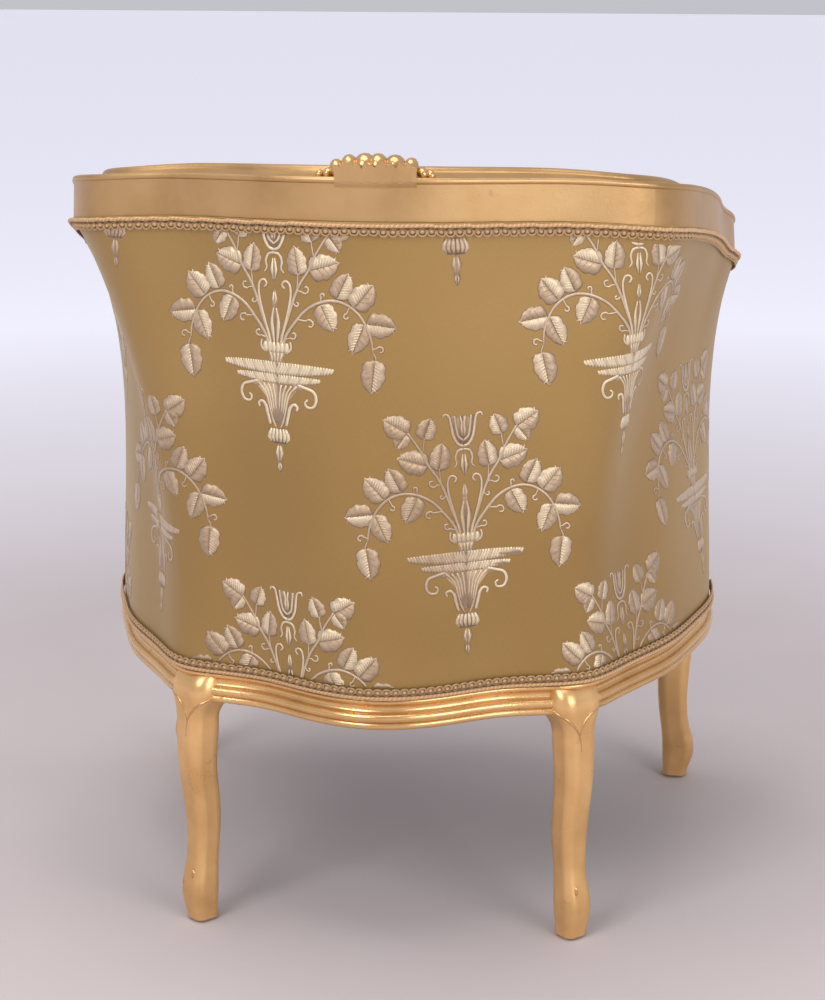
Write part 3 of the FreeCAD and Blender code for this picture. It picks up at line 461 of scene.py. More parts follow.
def wall_hit(tree, turn, height, outside):
    """Point of the wall at a turn and height, seen from outside or from the seat, or None."""
    start, ahead = spine_ray(turn)
    start = start + Vector((0, 0, height))
    if outside:
        return tree.ray_cast(start + ahead * RAY_REACH, -ahead, RAY_REACH)[0]
    return tree.ray_cast(start, ahead, RAY_REACH)[0]


def measured_wall(tree, outside, stations=241, levels=61):
    """The whole wall as a sheet, from one end of the arms to the other; runs count from its middle."""
    last = math.pi / 2 + HUB_Y - WALL_END_Y
    turns = np.linspace(-last, last, stations)
    hits = [(turn, wall_hit(tree, turn, REFERENCE_HEIGHT, outside)) for turn in turns]
    turns = np.array([turn for turn, hit in hits if hit is not None])
    reference = [hit[:2] for _, hit in hits if hit is not None]
    stations = len(turns)
    steps = np.linalg.norm(np.diff(np.array(reference), axis=0), axis=1)
    runs = np.concatenate([[0], np.cumsum(steps)])
    runs -= np.interp(0.0, turns, runs)
    shares = np.linspace(0, 1, levels)
    points = np.zeros((stations, levels, 3))
    low, high = np.zeros(stations), np.zeros(stations)
    for i, turn in enumerate(turns):
        low[i] = edge_height(tree, turn, outside, -1)
        high[i] = edge_height(tree, turn, outside, 1)
    for i, turn in enumerate(turns):
        for j, share in enumerate(shares):
            height = low[i] + (high[i] - low[i]) * share
            hit = wall_hit(tree, turn, height, outside)
            points[i, j] = hit if hit is not None else points[i, j - 1]
    along = np.gradient(points, axis=0)
    up = np.gradient(points, axis=1)
    normals = np.cross(up, along) if outside else np.cross(along, up)
    normals /= np.maximum(np.linalg.norm(normals, axis=2), 1e-9)[..., None]
    return Sheet(runs, shares, low, high, points, normals)


def edge_height(tree, turn, outside, side):
    """Lowest or highest height at which a ray still meets the surface."""
    inside_height = REFERENCE_HEIGHT
    beyond = REFERENCE_HEIGHT + side * WALL_SEARCH
    for _ in range(16):
        middle = (inside_height + beyond) / 2
        if wall_hit(tree, turn, middle, outside) is None:
            beyond = middle
        else:
            inside_height = middle
    return inside_height - side * WALL_MARGIN


outside_nodes = ("outside_back_cover", "outside_arm_cover_left", "outside_arm_cover_right")
outside_wall = measured_wall(tree_of(*outside_nodes), True)


def slab_faces(rows, columns):
    """Faces of a closed slab made of two grids, the front one first."""
    count = rows * columns
    faces = [f[::-1] for f in grid_faces(rows, columns)]
    faces += [tuple(count + i for i in f[::-1]) for f in faces[:]]
    rim = [j for j in range(columns)] + [i * columns + columns - 1 for i in range(1, rows)]
    rim += [(rows - 1) * columns + j for j in range(columns - 2, -1, -1)]
    rim += [i * columns for i in range(rows - 2, 0, -1)]
    for a, b in zip(rim, rim[1:] + rim[:1]):
        faces.append((a, b, count + b, count + a))
    return faces


def cover_piece(name, sheet, thickness, material):
    """Cloth over a measured wall, closed round its edges."""
    rows, columns = sheet.points.shape[:2]
    front = sheet.points.reshape(-1, 3)
    back = (sheet.points - sheet.normals * thickness).reshape(-1, 3)
    faces = slab_faces(rows, columns)
    heights = sheet.points[..., 2]
    uv = np.stack([np.broadcast_to(sheet.runs[:, None], heights.shape), heights], axis=2).reshape(-1, 2)
    return make_object(name, np.vstack([front, back]), faces, material, uv=np.vstack([uv, uv]))


outside_cover = cover_piece("outside_cover", outside_wall, COVER_THICKNESS, ground)
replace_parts(outside_cover, *outside_nodes)


# The woven figure: a spray of vine over a footed dish, drawn flat in millimetres.
# The dish's middle is the origin; the right half is the left half mirrored.
BRANCH_UPPER = [(-5, 22), (-7, 36), (-13, 52), (-19.5, 71), (-26, 86), (-35, 100), (-43, 117), (-53, 133)]
BRANCH_LOWER = [(-7, 22), (-11, 36), (-21.5, 51), (-32.5, 63), (-46, 70.5), (-59, 72.5), (-71, 69),
                (-81, 61), (-88, 50), (-93, 36), (-94.5, 24)]
SPRAY_INNER = [(-4, 22), (-9, 42), (-14, 60), (-17, 76), (-15.5, 86), (-10.5, 88), (-8, 84), (-11, 81)]
# Each leaf: where it is attached, where its tip points and its width
LEAVES = [
    ((-54, 133), (-74, 146), 22), ((-55, 131), (-64, 118), 14), ((-38, 127), (-31, 146), 17),
    ((-25, 96), (-21, 121), 18), ((-37, 100), (-63, 108), 22), ((-62, 76), (-72, 98), 18),
    ((-78, 68), (-94, 88), 21), ((-90, 52), (-115, 48), 21), ((-47, 67), (-58, 44), 19),
    ((-86, 50), (-76, 24), 18), ((-96, 16), (-93, -14), 20),
]
# Each curl: where it leaves its branch, the middle of its eye and the eye's radius
CURLS = [
    ((-23, 80), (-31.5, 82), 4.6), ((-19, 68), (-23, 67.5), 2.6), ((-23, 53), (-35.5, 49), 5.0),
    ((-11, 33), (-18.5, 37.5), 4.0), ((-46, 71), (-48.5, 77), 2.6), ((-73, 67), (-70.5, 58), 3.2),
    ((-94, 28), (-101, 27), 4.0),
]
STEMS = [[(-40, 112), (-38.5, 120), (-37.5, 128)], [(-23, 80), (-24, 88), (-24.5, 97)],
         [(-94.5, 25), (-97, 19), (-96, 13)]]
FLUTES = [[(-21, -12), (-12.5, -22), (-7.5, -42)], [(-15.5, -12), (-9.5, -22), (-6.0, -40)],
          [(-10, -12), (-6.2, -22), (-4.2, -38)], [(-4.5, -12), (-2.8, -22), (-1.8, -36)]]
# Half the outline of a leaf, as shares of its length and width, and where its veins start
LOBES = [(-0.04, 0.08), (0.02, 0.36), (0.14, 0.52), (0.27, 0.50), (0.34, 0.48), (0.44, 0.55), (0.58, 0.51),
         (0.66, 0.42), (0.76, 0.40), (0.88, 0.24), (0.95, 0.09), (1.04, 0.0)]
PALE_VEINS = (0.12, 0.22, 0.32, 0.42, 0.52, 0.62, 0.72, 0.82)
DARK_VEINS = (0.24, 0.44, 0.64)


def strip_faces(count):
    """Faces of a strip whose left and right points alternate."""
    return [(2 * i, 2 * i + 1, 2 * i + 3, 2 * i + 2) for i in range(count - 1)]


def ribbon(bag, path, widths, tone, lift):
    """Adds a flat stroke along a path."""
    path = np.asarray(path, float)
    widths = np.broadcast_to(np.asarray(widths, float), (len(path),))
    ahead = np.gradient(path, axis=0)
    ahead /= np.linalg.norm(ahead, axis=1)[:, None] + 1e-9
    side = np.column_stack([-ahead[:, 1], ahead[:, 0]])
    left, right = path + side * widths[:, None] / 2, path - side * widths[:, None] / 2
    points = np.empty((2 * len(path), 3))
    points[0::2, :2], points[1::2, :2] = left, right
    points[:, 2] = lift
    bag.add(points, strip_faces(len(path)), tone)


def filled(bag, outline, tone, lift):
    """Adds a flat shape inside an outline that its own middle can see."""
    outline = np.asarray(outline, float)
    points = np.empty((len(outline) + 1, 3))
    points[:-1, :2] = outline
    points[-1, :2] = outline.mean(axis=0)
    points[:, 2] = lift
    count = len(outline)
    bag.add(points, [(i, (i + 1) % count, count) for i in range(count)], tone)


def tapered(count, start, middle, end):
    t = np.linspace(0, 1, count)
    return np.where(t < 0.5, start + (middle - start) * 2 * t, middle + (end - middle) * (2 * t - 1))


def stroke(bag, path, width, tone=0.78, lift=0.30, count=16, ends=(0.75, 0.45)):
    """A woven stem: a pale line over a slightly wider dark one."""
    line = through(path, count)
    widths = tapered(count, ends[0], 1.0, ends[1])
    ribbon(bag, line, widths * (width + 0.9), 0.16, lift - 0.10)
    ribbon(bag, line, widths * width, tone, lift)


def curl(bag, start, eye, radius, width=1.7):
    """A tendril that leaves its branch and winds once round its eye."""
    start, eye = np.array(start, float), np.array(eye, float)
    away = eye - start
    first = math.atan2(-away[1], -away[0])
    spin = 1.0 if eye[1] > start[1] else -1.0
    if abs(away[0]) > abs(away[1]):
        spin = -1.0 if (away[0] < 0) == (away[1] > -1.0) else 1.0
    turns = np.linspace(0, 1, 14)
    angles = first + spin * (0.35 + turns * 4.6)
    reach = radius * (1.0 - 0.62 * turns)
    spiral = eye + np.column_stack([np.cos(angles) * reach, np.sin(angles) * reach])
    stroke(bag, np.vstack([start, spiral]), width, 0.74, 0.30, 22, (0.6, 0.9))


def leaf(bag, root, tip, width, light_side):
    """A lobed vine leaf: one half ribbed in pale thread, the other half rosy, with a dark edge."""
    root, tip = np.array(root, float), np.array(tip, float)
    along = tip - root
    length = np.linalg.norm(along)
    along /= length
    across = np.array([-along[1], along[0]])
    middle = (root + tip) / 2
    for side in (-1, 1):
        light = side == light_side
        rib = np.array([root + along * length * t for t, _ in LOBES])
        edge = np.array([root + along * length * t + across * side * width * w for t, w in LOBES])
        for grow, tone, lift in ((1.07, 0.22, 0.16), (1.0, 0.76 if light else 0.56, 0.26)):
            points = np.empty((2 * len(LOBES), 3))
            points[0::2, :2] = middle + (rib - middle) * grow
            points[1::2, :2] = middle + (edge - middle) * grow
            points[:, 2] = lift
            bag.add(points, strip_faces(len(LOBES)), tone)
        for share in PALE_VEINS if light else DARK_VEINS:
            start = root + along * length * share
            end = start + along * length * 0.14 + across * side * width * 0.42 * (1 - share * 0.5)
            widths = [1.1, 1.0, 0.5] if light else [0.8, 0.6, 0.4]
            ribbon(bag, through([start, end], 3), widths, 1.0 if light else 0.34, 0.36)
    ribbon(bag, through([root, middle, tip], 5), [0.9, 0.8, 0.7, 0.5, 0.3], 0.24, 0.38)


def rope_row(bag, row, reach, level, height, count):
    """Half of one row of the dish: an oval with slanting stitches along its edge."""
    turns = np.linspace(math.pi / 2, 3 * math.pi / 2, 15)
    low, high = level - 1.5 - height * 0.54, level - 1.5 + height * 0.54
    oval = [(reach * math.cos(a), level - 1.5 + height * 0.54 * math.sin(a)) for a in turns]
    filled(bag, [(0, high)] + oval + [(0, low)], 0.42, 0.18 - 0.06 * row)
    for i in range(count):
        x = -reach * (i + 0.5) / count
        tall = height * math.sqrt(1 - (x / reach) ** 2 * 0.88)
        middle = level - 1.5 * (1 - (x / reach) ** 2)
        lean = tall * 0.22
        ends = [(x + lean, middle - tall * 0.5), (x + lean * 0.2, middle - tall * 0.1),
                (x - lean * 0.6, middle + tall * 0.25), (x - lean * 0.5, middle + tall * 0.5)]
        widths = [1.4, 2.4, 2.7, 2.7, 2.5, 1.6]
        ribbon(bag, through(ends, 6), widths, 0.94 if i % 4 else 0.74, 0.34 - 0.08 * row)


def half_figure():
    """The left half of the spray and the dish."""
    bag = Bag()
    stroke(bag, BRANCH_UPPER, 2.6, 0.66, 0.30, 34, (1.1, 0.7))
    stroke(bag, BRANCH_LOWER, 2.6, 0.66, 0.30, 40, (1.1, 0.6))
    stroke(bag, SPRAY_INNER, 2.2, 0.84, 0.34, 34, (0.9, 0.9))
    for path in STEMS:
        stroke(bag, path, 1.3, 0.7, 0.28, 8)
    for start, eye, radius in CURLS:
        curl(bag, start, eye, radius)
    for i, (root, tip, width) in enumerate(LEAVES):
        leaf(bag, root, tip, width, 1 if i % 2 else -1)
    # dish: a rope edge round an oval over a narrower second row
    rope_row(bag, 0, 58, 5.5, 12.0, 20)
    rope_row(bag, 1, 45, -5.0, 9.0, 16)
    # jar neck with its gadrooned collar
    filled(bag, [(0, 19.5), (-9, 19), (-7, 14), (-9.5, 9.5), (0, 9.5)], 0.42, 0.16)
    for x, width in ((-2.2, 4.2), (-6.4, 4.2), (-11.0, 4.6)):
        ribbon(bag, [(x, 19.0), (x * 1.03, 22), (x * 1.06, 25.5), (x * 1.05, 29.0)],
                        [width * 0.7, width, width, width * 0.55], 0.92, 0.34)
    stroke(bag, [(-15.4, 30.5), (-16.2, 25), (-13.5, 20.5), (-10, 21)], 2.2, 0.85, 0.30, 10)
    for x in (-1.4, -4.4):
        ribbon(bag, [(x, 9.5), (x * 1.1, 14), (x * 1.5, 19)], [1.6, 1.5, 1.8], 0.86, 0.26)
    # volutes under the dish
    stroke(bag, [(-22, -10.5), (-31, -13), (-38.5, -16), (-41, -23.5), (-38, -30.5), (-31.5, -31),
                 (-29.5, -26.5), (-32.5, -24)], 3.0, 0.88, 0.32, 30, (0.9, 0.6))
    filled(bag, [(-16, -9), (-32, -11.5), (-26, -15.5), (-18, -15)], 0.52, 0.2)
    # fluted bracket
    bracket = [(0, -11), (-25, -11), (-17.5, -18), (-12.5, -27), (-10, -38), (-8, -50), (0, -50)]
    filled(bag, bracket, 0.42, 0.17)
    for flute in FLUTES:
        ribbon(bag, through(flute, 10), tapered(10, 1.7, 1.5, 0.9), 0.92, 0.3)
    # acanthus curls, shell collar and drop
    stroke(bag, [(-9, -52), (-11.5, -42), (-13.5, -34), (-17.5, -30), (-21.5, -32), (-20.5, -36)], 3.2, 0.9,
           0.34, 22, (0.8, 0.7))
    stroke(bag, [(-2.5, -55), (-6, -47), (-7.8, -40)], 2.2, 0.7, 0.32, 8)
    for x in (-2.0, -6.0, -9.6):
        ribbon(bag, [(x * 0.8, -56), (x * 1.05, -61), (x * 1.15, -65), (x * 0.9, -69)],
                        [2.0, 3.4, 3.4, 1.6], 0.93, 0.34)
    filled(bag, [(0, -55), (-10.5, -56), (-12.5, -64), (-8, -70.5), (0, -71)], 0.18, 0.15)
    drop = [(0, -71), (-3.6, -74), (-5.4, -80), (-3.4, -86), (-1.8, -89), (-3.4, -93.5), (-1.6, -97.5),
            (0, -100)]
    filled(bag, drop, 0.3, 0.2)
    ribbon(bag, [(-1.2, -73), (-2.6, -80), (-1.0, -87)], [1.2, 2.6, 0.8], 0.9, 0.3)
    ribbon(bag, [(-0.8, -90), (-1.4, -94), (-0.5, -98)], [0.7, 1.5, 0.5], 0.86, 0.3)
    # spindle between the sprays
    filled(bag, [(0, 22), (-2.0, 30), (-4.2, 41), (-6.3, 50), (-4.2, 60), (-1.7, 65), (-3.5, 70.5),
                     (-1.6, 78), (0, 81)], 0.26, 0.15)
    spindle = through([(-1.2, 26), (-2.8, 40), (-3.5, 50), (-1.4, 62)], 10)
    ribbon(bag, spindle, tapered(10, 1.0, 3.6, 0.8), 0.86, 0.3)
    ribbon(bag, [(-0.8, 66), (-1.6, 70.5), (-0.6, 78)], [0.8, 2.0, 0.5], 0.88, 0.3)
    # tulip and its pendant
    filled(bag, [(0, 147), (-11, 147), (-12, 134), (-8.5, 121), (-3, 116.5), (0, 116)], 0.22, 0.14)
    stroke(bag, [(-19.5, 145.5), (-18, 149), (-13.5, 147), (-11.6, 138), (-9.6, 127), (-5.2, 119), (0, 116.8)],
           2.6, 0.9, 0.32, 26, (0.6, 1.0))
    stroke(bag, [(-8.2, 147), (-6.8, 136), (-5.0, 127), (0, 122.4)], 2.0, 0.86, 0.30, 16, (0.9, 0.9))
    ribbon(bag, [(-1.0, 127), (-1.6, 133), (-1.2, 140), (-2.5, 147)], [1.2, 2.4, 2.0, 1.2], 0.88, 0.3)
    stroke(bag, [(0, 114), (-5.6, 112.5), (-8.4, 106), (-7.5, 99.5), (-10.5, 95.5)], 2.2, 0.84, 0.3, 16,
           (1.0, 0.5))
    filled(bag, [(0, 110), (-3.2, 104), (-4.8, 96), (-2.2, 91), (0, 87.5)], 0.2, 0.16)
    ribbon(bag, [(-1.0, 109), (-2.2, 98), (-0.8, 89)], [0.9, 2.8, 0.7], 0.92, 0.3)
    return bag.arrays()


def whole_figure():
    points, faces, tones = half_figure()
    other = points * np.array([-1.0, 1.0, 1.0])
    count = len(points)
    both = list(faces) + [[count + i for i in f] for f in faces]
    points = np.vstack([points, other])
    return points, [facing_up(points, f) for f in both], np.concatenate([tones, tones])


def facing_up(points, face):
    """The face, turned so that it is seen from the cloth's good side."""
    x, y = points[face, 0], points[face, 1]
    area = np.sum(x * np.roll(y, -1) - np.roll(x, -1) * y)
    return list(face) if area >= 0 else list(face)[::-1]


FIGURE = whole_figure()


def cut_figure(limits):
    """The figure cut by straight lines; each is a point on the line and the way out."""
    points, faces, tones = FIGURE
    mesh = bmesh.new()
    layer = mesh.verts.layers.float.new("tone")
    verts = []
    for p, tone in zip(points, tones):
        vert = mesh.verts.new(p)
        vert[layer] = tone
        verts.append(vert)
    for f in faces:
        mesh.faces.new([verts[i] for i in f])
    flat = np.asarray(points)[:, :2]
    for spot, way in limits:
        if ((flat - np.array(spot)) @ np.array(way)).max() < 0:
            continue
        bmesh.ops.bisect_plane(mesh, geom=mesh.verts[:] + mesh.edges[:] + mesh.faces[:], dist=1e-5,
                               plane_co=(*spot, 0), plane_no=(*way, 0), clear_outer=True)
    mesh.verts.index_update()
    cut = (np.array([v.co for v in mesh.verts]).reshape(-1, 3),
           [[v.index for v in f.verts] for f in mesh.faces],
           np.array([v[layer] for v in mesh.verts]))
    mesh.free()
    return cut


FIGURE_REACH = 0.125
FIGURE_TOP = 0.150
FIGURE_FOOT = 0.100
FIGURE_COLUMNS = range(-3, 3)
WALL_END_EDGE = 0.003
OUTSIDE_EDGE = 0.0125
INSIDE_EDGE = 0.016
THREAD_DEPTH = 0.0004
# Bands along the wall where a sheen is painted into the pale threads, and how far each reaches; darker threads
# stay as they are
PAINTED_SHEEN_BANDS = ((0.085, 0.085), (-0.19, 0.08))
DARK_TONE = 0.33


def weave_figure(bag, sheet, run, level, edge, flip):
    """Weaves one figure into a measured wall, cut off under the braids and at the ends."""
    lean = GRAIN_LEAN * run
    at_level = run - lean * (level - REFERENCE_HEIGHT)
    spots = [max(sheet.runs[0], min(sheet.runs[-1], at_level + side * FIGURE_REACH)) for side in (-1, 1)]
    if spots[1] - spots[0] < 0.01:
        return
    tops = [np.interp(s, sheet.runs, sheet.high) - edge - level for s in spots]
    lows = [np.interp(s, sheet.runs, sheet.low) + edge - level for s in spots]
    if min(tops) < -FIGURE_FOOT or max(lows) > FIGURE_TOP:
        return
    slope = (tops[1] - tops[0]) / (spots[1] - spots[0])
    middle_top = np.interp(at_level, sheet.runs, sheet.high) - edge - level
    middle_low = np.interp(at_level, sheet.runs, sheet.low) + edge - level
    ends = [(sheet.runs[0] + WALL_END_EDGE - at_level) / MM, (sheet.runs[-1] - WALL_END_EDGE - at_level) / MM]
    limits = [((0, middle_top / MM), (-slope, 1)), ((0, middle_low / MM), (0, -1)),
              ((ends[0], 0), (-1, 0)), ((ends[1], 0), (1, 0))]
    points, faces, tones = cut_figure(limits)
    if not len(points):
        return
    height = level + points[:, 1] * MM
    axis = run - lean * (height - REFERENCE_HEIGHT)
    across = points[:, 0] * MM / sheet.stretch(axis, height)
    runs = axis + across
    placed = sheet.at(np.clip(runs, sheet.runs[0], sheet.runs[-1]), height, points[:, 2] * MM)
    # The pale threads' tones carry a painted sheen along the wall
    bag.add(placed, [f[::-1] for f in faces] if flip else faces, painted_sheen_tones(tones, runs))


def painted_sheen_tones(tones, runs):
    """Painted sheen: the pale threads are painted brighter where the wall turns to the light, and duller
    between.
    """
    painted_sheen = np.maximum(*[smooth_step(1.6 - np.abs(runs - place) / spread) for place, spread in PAINTED_SHEEN_BANDS])
    return np.where(tones > DARK_TONE, DARK_TONE + (tones - DARK_TONE) * (0.45 + 0.55 * painted_sheen), tones)


def woven_figures(name, sheet, edge, flip):
    """All figures of one face of the wall, as one piece."""
    bag = Bag()
    for column in FIGURE_COLUMNS:
        run = COLUMN_SHIFT + (column + 0.5) * COLUMN_STEP
        drop = 0.0 if column % 2 == 0 else REPEAT_HEIGHT / 2
        for row in (-1, 0, 1):
            weave_figure(bag, sheet, run, MOTIF_LEVEL - drop + row * REPEAT_HEIGHT, edge, flip)
    points, faces, tones = bag.arrays()
    obj = make_object(name, points, faces, threads, tones=tones)
    thicken(obj, THREAD_DEPTH)
    return obj


def thicken(obj, depth):
    """Gives a flat piece its depth, inwards."""
    modifier = obj.modifiers.new("depth", "SOLIDIFY")
    modifier.thickness = depth
    modifier.offset = -1.0
    apply_modifiers(obj)


def apply_modifiers(obj):
    graph = bpy.context.evaluated_depsgraph_get()
    mesh = bpy.data.meshes.new_from_object(obj.evaluated_get(graph))
    obj.modifiers.clear()
    obj.data = mesh


outside_figures = woven_figures("outside_figures", outside_wall, OUTSIDE_EDGE, True)


# Gimp: a row of knots in looped cord on a tape, with a twisted cord along one edge
def knot(run, across, radius, height):
    """Low round knot of braid."""
    points, faces = [(run, across, height)], []
    for share, level in ((0.55, 0.84), (0.9, 0.45), (1.0, 0.1)):
        for i in range(8):
            turn = i * math.pi / 4
            points.append((run + radius * share * math.cos(turn), across + radius * share * math.sin(turn),
                           height * level))
    faces += [(0, 1 + i, 1 + (i + 1) % 8) for i in range(8)]
    for ring in (1, 9):
        faces += [(ring + i, ring + 8 + i, ring + 8 + (i + 1) % 8, ring + (i + 1) % 8) for i in range(8)]
    return points, faces


def braid_pieces(length, cord_side):
    """Flat run of braid in millimetres: along, across and up off the cloth."""
    bag = Bag()
    loops = max(2, round(length / GIMP_PITCH))
    pitch = length / loops
    half = GIMP_WIDTH / 2
    tape_runs = np.linspace(0, length, 2 * loops + 1)
    tape = np.array([(run, across, 0.6) for run in tape_runs for across in (-half * 0.80, 0.0, half * 0.80)])
    bag.add(tape, grid_faces(len(tape_runs), 3), 0.26)
    middle = -1.9 * cord_side
    for i in range(loops):
        run = (i + 0.5) * pitch
        bag.add(*knot(run, middle + 0.2 * cord_side, 2.5, 3.2), 0.74)
        turns = np.linspace(-0.15, 1.15, 11) * math.pi
        path = np.column_stack([run + pitch * 0.47 * np.cos(turns), middle - 4.1 * np.sin(turns) * cord_side,
                                1.5 + 0.5 * np.sin(turns)])
        bag.add(*tube(path, 0.85, 5), 0.62)
        path = np.column_stack([run + pitch * 0.36 * np.cos(turns), middle + 3.6 * np.sin(turns) * cord_side,
                                1.3 + 0.4 * np.sin(turns)])
        bag.add(*tube(path, 0.6, 5), 0.50)
    t = np.linspace(0, loops * 2, loops * 12 + 1)
    # The cord's two plies: the first is painted much brighter than the second, a painted highlight that shows
    # the twist as bright dashes
    for phase, tone in ((0.0, 0.98), (0.5, 0.70)):
        turn = 2 * math.pi * (t + phase)
        path = np.column_stack([t * pitch / 2, (half - 2.1) * cord_side + 1.1 * np.cos(turn),
                                2.2 + 1.1 * np.sin(turn)])
        bag.add(*tube(path, 1.05, 6), tone)
    return bag.arrays()


def band_sheet(tree, rays, low, high, outside, levels=5):
    """Narrow strip of surface, such as a braid, found by level rays at many heights."""
    scan = np.arange(low, high, BAND_SCAN_STEP)
    found = []
    for start, ahead in rays:
        hits = [tree.ray_cast(start + Vector((0, 0, z)), ahead, RAY_REACH)[0] for z in scan]
        heights = [z for z, hit in zip(scan, hits) if hit is not None]
        if heights:
            found.append((start, ahead, min(heights), max(heights)))
    shares = np.linspace(0, 1, levels)
    points = np.zeros((len(found), levels, 3))
    for i, (start, ahead, bottom, top) in enumerate(found):
        for j, share in enumerate(shares):
            origin = start + Vector((0, 0, bottom + (top - bottom) * share))
            points[i, j] = tree.ray_cast(origin, ahead, RAY_REACH)[0] or points[i, j - 1]
    middle = points[:, levels // 2]
    runs = np.concatenate([[0], np.cumsum(np.linalg.norm(np.diff(middle, axis=0), axis=1))])
    along = np.repeat(np.gradient(middle, axis=0)[:, None], levels, axis=1)
    up = np.repeat((points[:, -1] - points[:, 0])[:, None], levels, axis=1)
    normals = np.cross(up, along) if outside else np.cross(along, up)
    normals /= np.maximum(np.linalg.norm(normals, axis=2), 1e-9)[..., None]
    return Sheet(runs, shares, points[:, 0, 2], points[:, -1, 2], points, normals)


def wall_rays(outside, stations=321):
    """Level rays at the wall from outside, or from the seat."""
    last = math.pi / 2 + HUB_Y - GIMP_END_Y
    rays = []
    for turn in np.linspace(-last, last, stations):
        start, ahead = spine_ray(turn)
        rays.append((start + ahead * RAY_REACH, -ahead) if outside else (start, ahead))
    return rays


def front_rays():
    """Level rays at the front of the seat."""
    return [(Vector((x, -0.7, 0)), Vector((0, 1, 0))) for x in np.linspace(-0.3, 0.3, 121)]


def gimp(name, node, rays, low, high, outside, cord_side):
    """Braid in the place of its plain band, which lies between two heights."""
    sheet = band_sheet(tree_of(node), rays, low, high, outside)
    points, faces, tones = braid_pieces(sheet.runs[-1] / MM, cord_side)
    placed = sheet.place(points[:, 0] * MM, points[:, 1] / GIMP_WIDTH + 0.5, points[:, 2] * MM - GIMP_SINK)
    obj = make_object(name, placed, faces, braid, tones=tones)
    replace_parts(obj, node)


gimp("outside_gimp_upper", "gimp_upper", wall_rays(True), 0.58, 0.77, True, 1)
gimp("outside_gimp_lower", "gimp_lower", wall_rays(True), 0.26, 0.31, True, -1)
gimp("inside_gimp_back", "gimp_inner_back", wall_rays(False), 0.55, 0.80, False, 1)
gimp("inside_gimp_left", "gimp_inner_arm_left", wall_rays(False), 0.55, 0.80, False, 1)
gimp("inside_gimp_right", "gimp_inner_arm_right", wall_rays(False), 0.55, 0.80, False, 1)
gimp("seat_gimp_front", "gimp_seat_front", front_rays(), 0.24, 0.33, False, -1)


# Padded pieces
PAD_VOXEL = 0.006
CLOTH_MOMENTS = 20


def even_copy(name, node):
    """Copy of a node with an even mesh."""
    source = nodes[node].data
    mesh = bpy.data.meshes.new(name)
    mesh.from_pydata([v.co.copy() for v in source.vertices], [], [p.vertices[:] for p in source.polygons])
    obj = bpy.data.objects.new(name, mesh)
    bpy.context.scene.collection.objects.link(obj)
    modifier = obj.modifiers.new("remesh", "REMESH")
    modifier.mode = "VOXEL"
    modifier.voxel_size = PAD_VOXEL
    apply_modifiers(obj)
    return obj


def positions(mesh):
    co = np.zeros(len(mesh.vertices) * 3)
    mesh.vertices.foreach_get("co", co)
    return co.reshape(-1, 3)


def normals_of(mesh):
    no = np.zeros(len(mesh.vertices) * 3)
    mesh.vertices.foreach_get("normal", no)
    return no.reshape(-1, 3)


def set_positions(mesh, co):
    mesh.vertices.foreach_set("co", np.asarray(co, float).ravel())
    mesh.update()


def swell(obj, cap, shrink, pressure=4.0, hold=None):
    """Draws the cloth in by shrink and blows it up, no point further than the cap; hold keeps its edges."""
    mesh = obj.data
    set_positions(mesh, positions(mesh) - normals_of(mesh) * shrink)
    rest = positions(mesh)
    cloth = obj.modifiers.new("cloth", "CLOTH")
    cloth.settings.use_pressure = True
    cloth.settings.uniform_pressure_force = pressure
    cloth.settings.quality = 4
    cloth.settings.mass = 0.3
    cloth.settings.tension_stiffness = 12
    cloth.settings.compression_stiffness = 12
    cloth.settings.effector_weights.gravity = 0
    cloth.point_cache.frame_start = 1
    cloth.point_cache.frame_end = CLOTH_MOMENTS
    scene = bpy.context.scene
    for moment in range(1, CLOTH_MOMENTS + 1):
        scene.frame_set(moment)
    graph = bpy.context.evaluated_depsgraph_get()
    blown = bpy.data.meshes.new_from_object(obj.evaluated_get(graph))
    move = positions(blown) - rest
    obj.modifiers.clear()
    share = np.minimum(1.0, cap / np.maximum(np.linalg.norm(move, axis=1), 1e-9))
    if hold is not None:
        share = share * hold(rest)
    set_positions(mesh, rest + move * share[:, None])
    bpy.data.meshes.remove(blown)
    scene.frame_set(1)


def soften(obj):
    """Smooths and refines a cloth."""
    relax = obj.modifiers.new("relax", "SMOOTH")
    relax.factor = 0.5
    relax.iterations = 3
    finer = obj.modifiers.new("finer", "SUBSURF")
    finer.levels = finer.render_levels = 1
    apply_modifiers(obj)


def dress(obj, body, replaced):
    """Makes a cloth the padded piece that stands for a node."""
    obj.data.materials.clear()
    obj.data.materials.append(ground_plain)
    obj.data.polygons.foreach_set("use_smooth", [True] * len(obj.data.polygons))
    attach(obj, body)
    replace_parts(obj, replaced)
    return obj


def edge_hold(low, high, reach=0.03):
    """Lets the middle of a pad move and keeps its tacked edges."""
    def hold(points):
        return smooth_step((points[:, 2] - low) / reach) * smooth_step((high - points[:, 2]) / reach)
    return hold


def make_pad(name, node, cap):
    """Inside pad of the wall, tacked along its edges and swelling by up to the cap between them."""
    obj = even_copy(name, node)
    low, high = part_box(node)
    swell(obj, cap, 0.0008, hold=edge_hold(low.z, high.z))
    soften(obj)
    return dress(obj, "frame", node)


inside_pads = [
    make_pad("inside_back_upholstery", "inside_back_pad", 0.007),
    make_pad("inside_arm_upholstery_left", "inside_arm_pad_left", 0.006),
    make_pad("inside_arm_upholstery_right", "inside_arm_pad_right", 0.006),
]
inside_wall = measured_wall(tree_of_meshes(*[pad.data for pad in inside_pads]), False)
woven_figures("inside_figures", inside_wall, INSIDE_EDGE, False)


def make_deck():
    """Sprung seat under the cushion."""
    obj = even_copy("deck_upholstery", "deck_pad")
    swell(obj, 0.002, 0.001)
    soften(obj)
    dress(obj, "frame", "deck_pad")


make_deck()


